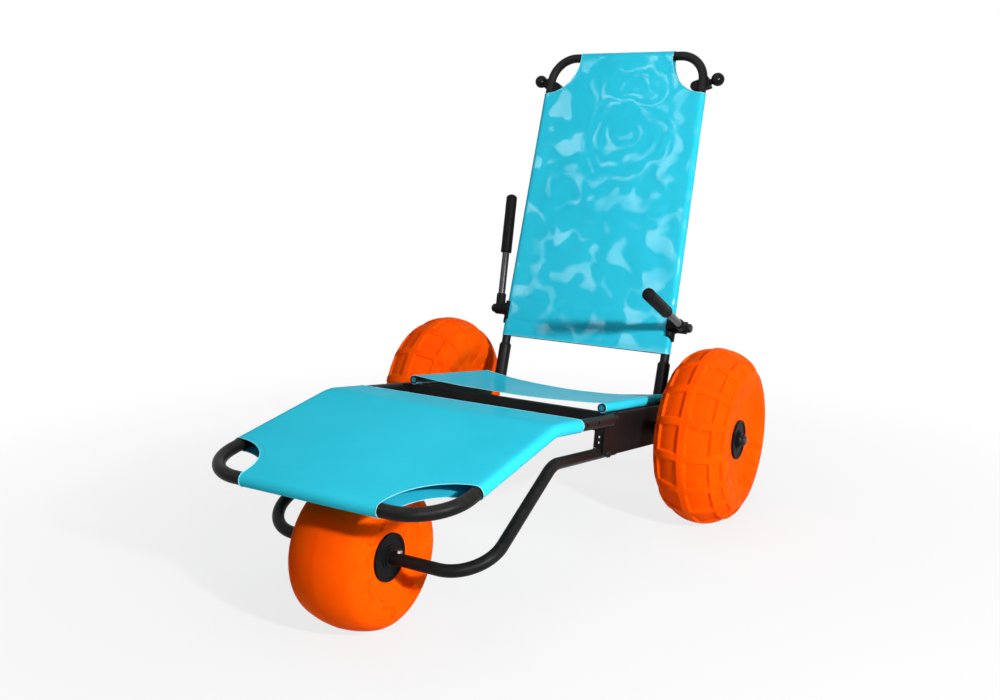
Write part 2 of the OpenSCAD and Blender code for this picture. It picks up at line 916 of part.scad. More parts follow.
module back_sleeve() {
    color(teal)
        on_back()
            difference() {
                back_sleeve_form(gap + fabric_t);
                back_sleeve_form(gap);
                translate([-back_span, -back_span, hem_h - 4 * back_tube_d])
                    cube([2 * back_span, 2 * back_span, 4 * back_tube_d]);
                for (side = [1, -1])
                    translate([side * (back_top_span / 2 + scoop_out), back_tube_d, back_h - scoop_down])
                        rotate([90, 0, 0])
                            cylinder(h = 2 * back_tube_d, r = back_scoop_r);
                translate([0, 0, arm_h])
                    on_both_sides()
                        cross_rod(back_x(arm_h), back_span, arm_bolt_d + 4 * gap);
            }
}

// Armrests

// A half shell on the outside of the upright with a boss for the arm, drawn out to a tongue below
module arm_bracket(side) {
    out_r = bracket_in_r + bracket_t;
    axis_x = back_x(arm_h);
    color(plastic_black)
        on_back()
            on_side(side)
                translate([axis_x, 0, arm_h])
                    difference() {
                        union() {
                            translate([0, 0, -bracket_down])
                                cylinder(h = bracket_up + bracket_down, r = out_r);
                            rotate([0, 90, 0])
                                cylinder(h = knuckle_x - gap - axis_x, d1 = 1.9 * boss_d, d2 = boss_d + 4);
                        }
                        rotate([0, -taper, 0])
                            translate([0, 0, -2 * bracket_down])
                                cylinder(h = 4 * bracket_down, r = bracket_in_r);
                        translate([-4 * out_r, -2 * out_r, -2 * bracket_down])
                            cube([4 * out_r, 4 * out_r, 4 * bracket_down]);
                        for (flank = [1, -1])
                            translate([0, flank * 5, -bracket_down])
                                rotate([-flank * 38, 0, 0])
                                    translate([0, flank > 0 ? 0 : -2 * out_r, -2 * out_r])
                                        cube([4 * out_r, 2 * out_r, 3 * out_r]);
                        cross_rod(0, plate_span, arm_bolt_d + gap);
                    }
}

module arm_bracket_left() { arm_bracket(1); }
module arm_bracket_right() { arm_bracket(-1); }

// Bolt through the upright and the knuckle, with a round cap outside
module arm_bolt(side) {
    end = knuckle_x + knuckle_w + gap;
    color(plastic_black)
        on_back()
            on_side(side)
                translate([0, 0, arm_h]) {
                    cross_rod(back_x(arm_h) - back_tube_d, end, arm_bolt_d);
                    translate([end, 0, 0])
                        rotate([0, 90, 0]) {
                            cylinder(h = arm_head_h - 4, d = arm_head_d);
                            translate([0, 0, arm_head_h - 4])
                                cylinder(h = 4, d1 = arm_head_d, d2 = arm_head_d - 7);
                        }
                }
}

module arm_bolt_left() { arm_bolt(1); }
module arm_bolt_right() { arm_bolt(-1); }

// Frame of an armrest: z along the arm from its pivot, turned down from the upright by an angle
module on_arm(side, turn) {
    on_back()
        on_side(side)
            translate([arm_axis_x, 0, arm_h])
                rotate([turn, 0, 0])
                    children();
}

arm_socket_d = 28;
arm_socket_l = 44;
arm_tube_start = 20;

module arm_knuckle(side, turn) {
    color(plastic_black)
        on_arm(side, turn)
            difference() {
                union() {
                    cross_rod(-knuckle_w / 2, knuckle_w / 2, knuckle_d);
                    rotate([0, arm_splay, 0])
                        cylinder(h = arm_socket_l, d = arm_socket_d);
                }
                rotate([0, arm_splay, 0])
                    translate([0, 0, arm_tube_start - gap])
                        cylinder(h = arm_l, d = arm_tube_d + gap);
                cross_rod(-knuckle_w, knuckle_w, arm_bolt_d + 2 * run);
                cross_rod(knuckle_w / 2, 2 * knuckle_w, arm_head_d + 2 * gap);
                translate([-2 * knuckle_w - knuckle_w / 2, -knuckle_d, -knuckle_d])
                    cube([2 * knuckle_w, 2 * knuckle_d, 3 * knuckle_d]);
            }
}

module arm_tube(side, turn) {
    color(frame_black)
        on_arm(side, turn)
            rotate([0, arm_splay, 0])
                translate([0, 0, arm_tube_start])
                    difference() {
                        cylinder(h = arm_l - arm_tube_start - grip_d / 2, d = arm_tube_d);
                        translate([0, 0, -over])
                            cylinder(h = arm_l, d = arm_tube_d - 2 * tube_wall);
                    }
}

// Foam sleeve with a domed end
module arm_grip(side, turn) {
    color(plastic_black)
        on_arm(side, turn)
            rotate([0, arm_splay, 0])
                difference() {
                    union() {
                        translate([0, 0, arm_l - grip_l])
                            cylinder(h = grip_l - grip_d / 2, d = grip_d);
                        translate([0, 0, arm_l - grip_d / 2])
                            sphere(d = grip_d);
                    }
                    translate([0, 0, arm_l - grip_l - over])
                        cylinder(h = grip_l - grip_d / 2 + over + gap, d = arm_tube_d + gap);
                }
}

module arm_knuckle_left() { arm_knuckle(1, arm_swing); }
module arm_tube_left() { arm_tube(1, arm_swing); }
module arm_grip_left() { arm_grip(1, arm_swing); }
module arm_knuckle_right() { arm_knuckle(-1, 0); }
module arm_tube_right() { arm_tube(-1, 0); }
module arm_grip_right() { arm_grip(-1, 0); }

// Top clamps with ball knobs

clamp_front = 5;
clamp_back = 22;
// A short neck shows between the clamp and its ball
clamp_out = ball_reach - ball_d / 2 - 4;
// The clamp's round inner end, from the tube's axis, just clears the scoop
clamp_in = (clamp_l - clamp_out - clamp_w / 2) * [cos(clamp_lean), sin(clamp_lean)];
clamp_h = back_h - scoop_down + clamp_in.y
    - sqrt(pow(back_scoop_r - clamp_clear - clamp_w / 2, 2) - pow(scoop_out + clamp_in.x, 2));
// Angle round the corner arc that lies level with the clamp
clamp_turn = asin(max(0, clamp_h - back_h + back_corner_r) / back_corner_r);
clamp_x = back_x(clamp_h) - back_corner_r * (1 - cos(clamp_turn));

// Clamp frame: x outwards along the clamp, y back, from the tube's axis
module on_clamp(side) {
    on_back()
        on_side(side)
            translate([clamp_x, 0, clamp_h])
                rotate([0, -clamp_lean, 0])
                    children();
}

stud_in = back_tube_d / 2 + 2;
knob_depth = (clamp_back - clamp_front) / 2;

module top_clamp(side) {
    color(plastic_black)
        difference() {
            on_clamp(side)
                difference() {
                    translate([0, clamp_back, 0])
                        rotate([90, 0, 0])
                            linear_extrude(clamp_back + clamp_front)
                                union() {
                                    translate([clamp_out - clamp_l + clamp_w / 2, -clamp_w / 2])
                                        square([clamp_l - clamp_w / 2, clamp_w]);
                                    translate([clamp_out - clamp_l + clamp_w / 2, 0])
                                        circle(d = clamp_w);
                                }
                    translate([0, knob_depth, 0])
                        cross_rod(0, clamp_l, stud_d + 2 * run);
                }
            on_back()
                on_side(side)
                    bent_rod([[back_x(back_h / 2), 0, back_h / 2], [back_top_span / 2, 0, back_h],
                        [0, 0, back_h]], [back_corner_r], back_tube_d + 2 * gap);
        }
}

module top_clamp_left() { top_clamp(1); }
module top_clamp_right() { top_clamp(-1); }

// Glossy ball on a collar and a stud that screws into the clamp
module ball_knob(side) {
    collar_d = 16;
    color(plastic_black)
        on_clamp(side)
            translate([0, knob_depth, 0]) {
                cross_rod(stud_in, ball_reach, stud_d);
                cross_rod(clamp_out + gap, ball_reach, collar_d);
                translate([ball_reach, 0, 0])
                    sphere(d = ball_d);
            }
}

module ball_knob_left() { ball_knob(1); }
module ball_knob_right() { ball_knob(-1); }

// Wheels

// Point of a wheel's outline as [radius, distance from the middle plane]. The turn is the surface's angle
// from the middle of the tread, and the depth is measured in from the surface.
function outline_point(turn, depth, wheel_r, half_w, crown_r, shoulder_r) =
    let (lean = asin((half_w - shoulder_r) / (crown_r - shoulder_r)),
        on_crown = abs(turn) <= lean,
        arc_r = on_crown ? crown_r : shoulder_r,
        mid_r = wheel_r - crown_r + (on_crown ? 0 : (crown_r - shoulder_r) * cos(lean)),
        mid_x = on_crown ? 0 : sign(turn) * (half_w - shoulder_r))
    [mid_r + (arc_r - depth) * cos(turn), mid_x + (arc_r - depth) * sin(turn)];
function rear_point(turn, depth) =
    outline_point(turn, depth, rear_r, rear_wheel_w / 2, rear_crown_r, rear_shoulder_r);
function front_point(turn, depth) =
    outline_point(turn, depth, front_r, front_wheel_w / 2, front_crown_r, front_shoulder_r);
function steps(from, to, count) = [for (i = [0 : count]) from + (to - from) * i / count];
function mirrored(points) = [for (i = [len(points) - 1 : -1 : 0]) [points[i][0], -points[i][1]]];

// Half of the rear wheel's outline with a groove where the pockets lie
rear_half = concat(
    [for (t = steps(0, centre_rib_turn, 1)) rear_point(t, ring_drop)],
    [for (t = steps(centre_rib_turn + pocket_draft, pocket_end_turn - pocket_draft, 5)) rear_point(t, tread_depth)],
    [for (t = steps(pocket_end_turn, side_rib_turn, 1)) rear_point(t, ring_drop)],
    [for (t = steps(side_rib_turn + pocket_draft, shoulder_end_turn - pocket_draft, 4)) rear_point(t, tread_depth)],
    [for (t = steps(shoulder_end_turn, side_end_turn, 8)) rear_point(t, ring_drop)],
    [[hub_d / 2, rear_hub_x], [hub_bore_d / 2, rear_hub_x]]);
rear_cavity_half = concat(
    [for (t = steps(0, side_end_turn, 16)) rear_point(t, tread_depth + wheel_wall)],
    [[hub_bore_d / 2 + hub_core_wall, rear_hub_x - 2 * wheel_wall]]);
// A cross rib from shoulder to shoulder, sunk into the wall below it
rib_half = concat(
    [for (t = steps(0, shoulder_end_turn - pocket_draft, 11)) rear_point(t, 0)],
    [for (t = steps(shoulder_end_turn - pocket_draft, 0, 11)) rear_point(t, tread_depth + wheel_wall / 2)]);

module at_rear_wheel(side) {
    on_side(side)
        translate([rear_track / 2, axle_y, rear_r])
            rotate([0, 90, 0])
                children();
}

module rear_wheel(side) {
    color(orange)
        at_rear_wheel(side) {
            rotate_extrude()
                difference() {
                    polygon(concat(mirrored(rear_half), rear_half));
                    polygon(concat(mirrored(rear_cavity_half), rear_cavity_half));
                }
            for (i = [0 : tread_ribs - 1])
                rotate([0, 0, 360 * i / tread_ribs - tread_rib_turn / 2])
                    rotate_extrude(angle = tread_rib_turn)
                        union() {
                            polygon(rib_half);
                            mirror([0, 1])
                                polygon(rib_half);
                        }
        }
}

module rear_wheel_left() { rear_wheel(1); }
module rear_wheel_right() { rear_wheel(-1); }

// A hub disc with its spigot, from the hub face outwards
module hub(face) {
    rise = 2;
    difference() {
        union() {
            translate([0, 0, face])
                cylinder(h = hub_t, d = hub_d - 2);
            translate([0, 0, face - spigot_l])
                cylinder(h = spigot_l + over, d = hub_bore_d - gap);
        }
        translate([0, 0, face - spigot_l - over])
            cylinder(h = spigot_l + hub_t + 2 * over, d = bush_d + gap / 2);
        translate([0, 0, face + hub_t - rise])
            difference() {
                cylinder(h = 2 * rise, d = hub_d - 14);
                cylinder(h = 2 * rise, d = bush_flange_d + 12);
            }
    }
}

// A flanged bush in a hub
module bush(face) {
    difference() {
        union() {
            translate([0, 0, face - spigot_l])
                cylinder(h = spigot_l + hub_t, d = bush_d);
            translate([0, 0, face + hub_t])
                cylinder(h = bush_flange_t, d = bush_flange_d);
        }
        translate([0, 0, face - spigot_l - over])
            cylinder(h = spigot_l + hub_t + bush_flange_t + 2 * over, d = axle_d + 2 * run);
    }
}

// The same piece on both faces of a wheel
module on_both_faces() {
    children();
    mirror([0, 0, 1])
        children();
}

module rear_hubs(side) {
    color(plastic_black)
        at_rear_wheel(side)
            on_both_faces()
                hub(rear_hub_x);
}

module rear_bushes(side) {
    color(pale)
        at_rear_wheel(side)
            on_both_faces()
                bush(rear_hub_x);
}

module rear_hubs_left() { rear_hubs(1); }
module rear_hubs_right() { rear_hubs(-1); }
module rear_bushes_left() { rear_bushes(1); }
module rear_bushes_right() { rear_bushes(-1); }

front_half = concat(
    [for (t = steps(0, front_side_end_turn, 24)) front_point(t, 0)],
    [[hub_d / 2, front_hub_x], [hub_bore_d / 2, front_hub_x]]);
front_cavity_half = concat(
    [for (t = steps(0, front_side_end_turn, 16)) front_point(t, side_pocket_depth + wheel_wall)],
    [[hub_bore_d / 2 + hub_core_wall, front_hub_x - side_pocket_depth - wheel_wall]]);

module at_front_wheel() {
    on_chassis()
        translate([0, -wheelbase, -fork_drop])
            rotate([tilt, 0, 0])
                rotate([0, 90, 0])
                    children();
}

// Section of a pocket in the front wheel's side, from near the hub out over the shoulder
module side_pocket_section() {
    inner = front_point(front_side_end_turn - 6, side_pocket_depth);
    polygon(concat(
        [for (t = steps(62, front_side_end_turn - 6, 10)) front_point(t, t < 70 ? 0 : side_pocket_depth)],
        [[inner[0], front_wheel_w], [front_r, front_wheel_w], [front_r, front_point(62, 0)[1]]]));
}

module front_wheel() {
    pitch = 360 / side_pockets;
    pocket_turn = pitch * 0.62;
    color(orange)
        at_front_wheel()
            difference() {
                rotate_extrude()
                    difference() {
                        polygon(concat(mirrored(front_half), front_half));
                        polygon(concat(mirrored(front_cavity_half), front_cavity_half));
                    }
                on_both_faces()
                    for (i = [0 : side_pockets - 1])
                        rotate([0, 0, pitch * (i + 0.5) - pocket_turn / 2])
                            rotate_extrude(angle = pocket_turn)
                                side_pocket_section();
            }
}

module front_hubs() {
    color(plastic_black)
        at_front_wheel()
            on_both_faces()
                hub(front_hub_x);
}

module front_bushes() {
    color(pale)
        at_front_wheel()
            on_both_faces()
                bush(front_hub_x);
}

side_plate_left();
side_plate_right();
front_cross_bar();
fork_struts();
rear_beam();
rear_axle();
axle_spacers();
axle_washers();
axle_nuts();
seat_tube_left();
seat_tube_right();
seat_tube_plugs();
seat_sling();
back_socket_left();
back_socket_right();
socket_plugs();
fork_tube_left();
fork_tube_right();
fork_tube_plugs();
fork_bolts();
front_axle();
fork_clamp_bolts();
leg_hinge_bolts();
leg_stop_pins();
leg_frame();
leg_frame_plugs();
leg_sleeve();
back_frame();
back_cross_tube();
cross_tube_plugs();
back_sleeve();
arm_bracket_left();
arm_bracket_right();
arm_bolt_left();
arm_bolt_right();
arm_knuckle_left();
arm_tube_left();
arm_grip_left();
arm_knuckle_right();
arm_tube_right();
arm_grip_right();
top_clamp_left();
top_clamp_right();
ball_knob_left();
ball_knob_right();
rear_wheel_left();
rear_hubs_left();
rear_bushes_left();
rear_wheel_right();
rear_hubs_right();
rear_bushes_right();
front_wheel();
front_hubs();
front_bushes();
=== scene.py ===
"""Looks of a beach wheelchair: moulded orange wheels, coated slings and black tube frames.

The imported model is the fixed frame. Slings, wheels and grips are rebuilt as finer meshes in the place
of their solids, and every other node keeps its solid and gets a finish of its own.
Lengths are metres. The front is -Y, the occupant's left is +X and the floor is z = 0.
"""

from __future__ import annotations

import json
import logging
import math
from dataclasses import dataclass, field
from enum import Enum
from typing import Callable, Iterable, Sequence

import bpy
import numpy as np
from mathutils import Matrix, Vector, noise

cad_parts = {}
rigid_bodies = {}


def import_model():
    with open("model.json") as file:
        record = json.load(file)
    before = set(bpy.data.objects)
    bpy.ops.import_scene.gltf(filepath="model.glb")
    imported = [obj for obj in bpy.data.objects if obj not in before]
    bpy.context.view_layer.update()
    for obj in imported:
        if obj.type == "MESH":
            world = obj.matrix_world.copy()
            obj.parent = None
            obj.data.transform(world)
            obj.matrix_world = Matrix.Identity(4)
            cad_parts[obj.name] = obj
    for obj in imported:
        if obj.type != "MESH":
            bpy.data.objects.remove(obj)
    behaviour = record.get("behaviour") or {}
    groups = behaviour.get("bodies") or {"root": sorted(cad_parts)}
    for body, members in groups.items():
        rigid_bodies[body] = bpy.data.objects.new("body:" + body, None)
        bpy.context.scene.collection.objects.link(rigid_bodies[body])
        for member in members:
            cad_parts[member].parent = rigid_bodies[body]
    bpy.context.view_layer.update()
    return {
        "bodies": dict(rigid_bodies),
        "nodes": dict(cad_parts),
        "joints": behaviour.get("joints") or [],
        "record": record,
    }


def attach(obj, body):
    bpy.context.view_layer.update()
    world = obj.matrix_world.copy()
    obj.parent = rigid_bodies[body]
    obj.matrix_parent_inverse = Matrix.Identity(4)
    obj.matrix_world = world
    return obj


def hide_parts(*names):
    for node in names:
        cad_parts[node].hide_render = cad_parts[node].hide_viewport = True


log = logging.getLogger("beach_wheelchair")

Array = np.ndarray
Point = tuple[float, float, float]
Colour = tuple[float, float, float]
Faces = list[tuple[int, ...]]
Corners = list[tuple[float, float]]
Piece = bpy.types.Object
Socket = bpy.types.NodeSocket

TINY = 1e-12
NOISE_SEED = 11
SIDES = {"left": 1.0, "right": -1.0}


# ---- Layout ----


@dataclass(frozen=True)
class ChairLayout:
    """Sizes that several pieces share, and the leaning frames that they are drawn in."""

    axle_y: float = 0.389295
    rear_r: float = 0.232
    tilt: float = math.radians(9.32722)
    socket_behind: float = 0.033
    plate_top: float = 0.066
    socket_up: float = 0.107
    back_lean: float = math.radians(8.5)
    back_half: float = 0.250
    back_top_half: float = 0.236
    back_top: float = 0.868
    kink: float = 0.012
    leg_hinge_reach: float = 0.346
    leg_hinge_rise: float = 0.054
    leg_half: float = 0.2986
    thigh: float = 0.352
    calf: float = 0.443
    knee_turn: float = math.radians(17.2)
    knee_r: float = 0.150
    seat_half: float = 0.2705
    seat_rise: float = 0.0786

    def chassis(self, x: Array, back: Array, up: Array) -> Array:
        """Places points of the chassis frame, whose y runs back along the seat.

        Args:
            x: Distance to the occupant's left.
            back: Distance behind the rear axle, along the seat.
            up: Distance above the rear axle, square to the seat.

        Returns:
            Points in the row frame, one per row.
        """
        c, s = math.cos(self.tilt), math.sin(self.tilt)
        x, back, up = np.broadcast_arrays(x, back, up)
        return np.stack([x, self.axle_y + back * c + up * s, self.rear_r - back * s + up * c], -1)

    def upright(self, x: Array, behind: Array, height: Array) -> Array:
        """Places points of the backrest frame.

        Args:
            x: Distance to the occupant's left.
            behind: Distance behind the plane of the tubes.
            height: Height above the sockets, along the uprights.

        Returns:
            Points in the row frame, one per row.
        """
        c, s = math.cos(self.back_lean), math.sin(self.back_lean)
        along = np.asarray(height) + self.socket_up
        behind = np.asarray(behind)
        return self.chassis(
            x, self.socket_behind + behind * c + along * s, self.plate_top - behind * s + along * c
        )

    def back_half_at(self, height: Array) -> Array:
        """Half the distance between the uprights at a height."""
        share = (np.asarray(height) - self.kink) / (self.back_top - self.kink)
        return self.back_half + (self.back_top_half - self.back_half) * share

    def leg_length(self) -> float:
        """Length of a leg rail's middle line from the hinge to the foot tube."""
        cut = self.knee_r * math.tan(self.knee_turn / 2)
        return self.thigh + self.calf - 2 * cut + self.knee_r * self.knee_turn

    def leg(self, x: Array, over: Array, along: Array) -> Array:
        """Places points of the leg rest, which bends down at the knee.

        Args:
            x: Distance to the occupant's left.
            over: Distance above the plane of the rails.
            along: Distance from the hinge along a rail.

        Returns:
            Points in the row frame, one per row.
        """
        x, over, along = np.broadcast_arrays(np.asarray(x, float), over, along)
        first = self.thigh - self.knee_r * math.tan(self.knee_turn / 2)
        turn = np.clip((along - first) / self.knee_r, 0.0, self.knee_turn)
        rest = np.maximum(along - first - self.knee_r * self.knee_turn, 0.0)
        ahead = np.minimum(along, first) + self.knee_r * np.sin(turn)
        ahead = ahead + rest * np.cos(turn) + over * np.sin(turn)
        up = -self.knee_r * (1 - np.cos(turn)) - rest * np.sin(turn) + over * np.cos(turn)
        return self.chassis(x, -self.leg_hinge_reach - ahead, self.leg_hinge_rise + up)


LAYOUT = ChairLayout()


# ---- Mesh helpers ----


def smooth_step(value: Array, low: float, high: float) -> Array:
    """Rises smoothly from 0 at low to 1 at high."""
    t = np.clip((np.asarray(value, float) - low) / (high - low), 0.0, 1.0)
    return t * t * (3 - 2 * t)


def bell(value: Array, width: float) -> Array:
    """Falls smoothly from 1 at 0 to almost nothing at two widths."""
    return np.exp(-((value / width) ** 2))


def unit(vectors: Array) -> Array:
    """Vectors brought to length 1."""
    return vectors / np.maximum(np.linalg.norm(vectors, axis=-1, keepdims=True), TINY)


def lengths_along(line: Array) -> Array:
    """Distance of each point of a line from its first."""
    return np.r_[0.0, np.cumsum(np.linalg.norm(np.diff(line, axis=0), axis=1))]


def between(at: float, steps: Array, rows: Array) -> Array:
    """Values at a distance along a line, between its rows."""
    return np.array([np.interp(at, steps, column) for column in rows.T])


def at_each(height: Callable[[float, float], float], x: Array, along: Array) -> Array:
    """Heights at each of two arrays' places."""
    return np.array([height(a, b) for a, b in zip(x.ravel(), along.ravel())]).reshape(x.shape)


def quad_uv(u: tuple[float, float], v: tuple[float, float]) -> Corners:
    """Surface coordinates of a quad's corners."""
    return [(u[0], v[0]), (u[1], v[0]), (u[1], v[1]), (u[0], v[1])]


def make_object(
    name: str,
    points: Array,
    faces: Sequence[Sequence[int]],
    material: bpy.types.Material,
    uv: Sequence[Corners] | None = None,
) -> Piece:
    """Makes a smooth-shaded mesh object.

    Args:
        name: Name of the object and its mesh.
        points: Vertices, one per row.
        faces: Vertex numbers of each face.
        material: Finish of the whole piece.
        uv: Surface coordinates of each face's corners, in metres.

    Returns:
        The new object, linked to the scene.
    """
    mesh = bpy.data.meshes.new(name)
    mesh.from_pydata([tuple(float(c) for c in p) for p in points], [], [tuple(f) for f in faces])
    mesh.polygons.foreach_set("use_smooth", [True] * len(mesh.polygons))
    if uv is not None:
        layer = mesh.uv_layers.new(name="UVMap")
        layer.data.foreach_set("uv", [c for corners in uv for pair in corners for c in pair])
    mesh.materials.append(material)
    mesh.update()
    made = bpy.data.objects.new(name, mesh)
    bpy.context.scene.collection.objects.link(made)
    return made


def join_parts(parts: Iterable[tuple[Array, Faces]]) -> tuple[Array, Faces]:
    """Puts several meshes into one.

    Args:
        parts: Vertices and faces of each mesh.

    Returns:
        Vertices and faces of all of them.
    """
    points, faces, start = [], [], 0
    for some, theirs in parts:
        points.append(some)
        faces += [tuple(start + v for v in f) for f in theirs]
        start += len(some)
    return np.concatenate(points), faces


def ring_faces(rings: int, count: int, close: bool = False) -> Faces:
    """Quads between rings of vertices that are stored ring after ring.

    Args:
        rings: Number of rings.
        count: Vertices in each ring.
        close: Whether the last ring joins the first.

    Returns:
        Vertex numbers of the quads.
    """
    faces = []
    for i in range(rings if close else rings - 1):
        a, b = i * count, ((i + 1) % rings) * count
        for j in range(count):
            k = (j + 1) % count
            faces.append((a + j, a + k, b + k, b + j))
    return faces


def swept_tube(line: Array, radius: float, close: bool = False, sides: int = 6) -> tuple[Array, Faces]:
    """A thin tube along a line.

    Args:
        line: Points of the line.
        radius: Radius of the tube.
        close: Whether the line is a loop.
        sides: Faces round the tube.

    Returns:
        Vertices and faces of the tube.
    """
    slanted = np.array([0.31, 0.23, 0.92])
    way = np.roll(line, -1, 0) - np.roll(line, 1, 0)
    if not close:
        way[0], way[-1] = line[1] - line[0], line[-1] - line[-2]
    way = unit(way)
    aside = unit(np.cross(way, slanted))
    over = np.cross(aside, way)
    turn = np.arange(sides) * 2 * math.pi / sides
    ring = aside[:, None] * np.cos(turn)[None, :, None] + over[:, None] * np.sin(turn)[None, :, None]
    points = (line[:, None] + radius * ring).reshape(-1, 3)
    return points, ring_faces(len(line), sides, close)


def boundary_loops(faces: Iterable[Sequence[int]]) -> list[list[int]]:
    """Closed rows of vertices along the open edges of a mesh.

    Args:
        faces: Vertex numbers of each face.

    Returns:
        One list of vertex numbers per loop.
    """
    used: dict[tuple[int, int], int] = {}
    for f in faces:
        for a, b in zip(f, [*f[1:], f[0]]):
            key = (min(a, b), max(a, b))
            used[key] = used.get(key, 0) + 1
    near: dict[int, list[int]] = {}
    for (a, b), n in used.items():
        if n == 1:
            near.setdefault(a, []).append(b)
            near.setdefault(b, []).append(a)
    loops, left = [], set(near)
    while left:
        loop = [min(left)]
        while True:
            left.discard(loop[-1])
            ahead = [v for v in near[loop[-1]] if v in left]
            if not ahead:
                break
            loop.append(ahead[0])
        loops.append(loop)
    return loops


@dataclass(frozen=True)
class Thread:
    """Sewing thread, seen as a row of rounded beads."""

    length: float = 0.0034
    pitch: float = 0.0052
    half_w: float = 0.0006
    half_h: float = 0.00045
    lift: float = 0.0002
    sides: int = 6
    rings: tuple[tuple[float, float], ...] = (
        (-0.5, 0.25), (-0.36, 0.8), (0.0, 1.0), (0.36, 0.8), (0.5, 0.25)
    )
    look_ahead: float = 0.001

    def bead(self, at: Array, way: Array, up: Array) -> tuple[Array, Faces]:
        """One stitch.

        Args:
            at: Its middle, on the cloth.
            way: Direction of the seam.
            up: The cloth's outward normal.

        Returns:
            Vertices and faces of the bead.
        """
        aside = np.cross(up, way)
        points = []
        for share, size in self.rings:
            for t in np.arange(self.sides) * math.pi / (self.sides / 2):
                beside = aside * (self.half_w * math.cos(t) * size)
                over = up * (self.half_h * math.sin(t) * size + self.lift)
                points.append(at + way * (share * self.length) + beside + over)
        faces = ring_faces(len(self.rings), self.sides)
        caps = [tuple(range(self.sides)), tuple(len(points) - 1 - j for j in range(self.sides))]
        return np.array(points), faces + caps

    def sew(self, rows: Iterable[tuple[Array, Array]]) -> tuple[Array, Faces]:
        """Stitches along seams.

        Args:
            rows: For each seam, its points on the cloth and the cloth's outward normals there.

        Returns:
            Vertices and faces of all the beads.
        """
        beads = []
        for line, normals in rows:
            steps = lengths_along(line)
            for at in np.arange(self.pitch / 2, steps[-1] - self.pitch / 2, self.pitch):
                here, up = (between(at, steps, some) for some in (line, normals))
                ahead = between(at + self.look_ahead, steps, line)
                beads.append(self.bead(here, unit(ahead - here), unit(up)))
        return join_parts(beads)


# ---- Finishes ----


class Surface(Enum):
    """Kinds of surface detail that a finish can have."""

    WOVEN = "woven"
    MOULDED = "moulded"
    COATED = "coated"
    FOAM = "foam"
    BARE_METAL = "bare metal"


class SocketKind(Enum):
    """Kinds of sockets on the shared effects."""

    VECTOR = "NodeSocketVector"
    COLOUR = "NodeSocketColor"
    NUMBER = "NodeSocketFloat"


def rgba(colour: Colour) -> tuple[float, float, float, float]:
    """A colour as a socket takes it."""
    return (*colour, 1.0)


class NodeBuilder:
    """Adds and joins shader nodes in one node tree."""

    def __init__(self, tree: bpy.types.NodeTree) -> None:
        """Keeps the tree that the nodes go into."""
        self.tree = tree

    @classmethod
    def fresh(cls, owner: bpy.types.Material | bpy.types.World) -> NodeBuilder:
        """Starts on the emptied node tree of a material or a world."""
        owner.use_nodes = True
        owner.node_tree.nodes.clear()
        return cls(owner.node_tree)

    def add(
        self, kind: str, values: dict[str | int, object] | None = None, **settings: object
    ) -> bpy.types.Node:
        """Adds a node.

        Args:
            kind: Node type.
            values: Input sockets' values, or other sockets to join to them, by name or number.
            **settings: Properties of the node.

        Returns:
            The new node.
        """
        made = self.tree.nodes.new(kind)
        for key, value in settings.items():
            setattr(made, key, value)
        for key, value in (values or {}).items():
            if isinstance(value, Socket):
                self.tree.links.new(value, made.inputs[key])
            else:
                made.inputs[key].default_value = value
        return made

    def effect(self, group: bpy.types.NodeTree, values: dict[str, object], output: str = "Mask") -> Socket:
        """Adds a shared effect and returns one of its outputs."""
        return self.add("ShaderNodeGroup", values, node_tree=group).outputs[output]

    def math(self, operation: str, a: object, b: object = 0.0) -> Socket:
        """Adds a Math node and returns its result."""
        return self.add("ShaderNodeMath", {0: a, 1: b}, operation=operation).outputs[0]

    def product(self, first: object, *others: object) -> Socket:
        """Multiplies values and returns the result."""
        for other in others:
            first = self.math("MULTIPLY", first, other)
        return first

    def vector(self, operation: str, *values: object) -> Socket:
        """Adds a Vector Math node and returns its vector, or the length that it finds."""
        made = self.add("ShaderNodeVectorMath", dict(enumerate(values)), operation=operation)
        return made.outputs["Value" if operation == "LENGTH" else "Vector"]

    def mix(self, factor: object, a: object, b: object) -> Socket:
        """Adds a colour Mix node and returns its result."""
        return self.add("ShaderNodeMix", {0: factor, 6: a, 7: b}, data_type="RGBA").outputs[2]

    def span(
        self, value: object, low: float, high: float, to_low: object = 0.0, to_high: object = 1.0
    ) -> Socket:
        """Adds a clamped Map Range node and returns its result."""
        return self.add("ShaderNodeMapRange", dict(enumerate((value, low, high, to_low, to_high)))).outputs[0]

    def noise(self, vector: object, scale: object, detail: float = 3.0, rough: float = 0.5) -> Socket:
        """Adds a noise texture and returns its value."""
        values = {"Vector": vector, "Scale": scale, "Detail": detail, "Roughness": rough}
        return self.add("ShaderNodeTexNoise", values).outputs[0]


@dataclass(frozen=True)
class PolishRing:
    """Rings of narrow polished lines round one place of the backrest's coating."""

    across: float
    along: float
    wide: float
    pitch: float
    reach: float


POLISH_RINGS: tuple[PolishRing, ...] = (
    PolishRing(0.350, 0.699, 1.10, 0.040, 0.125),
    PolishRing(0.353, 0.834, 1.75, 0.024, 0.058),
)


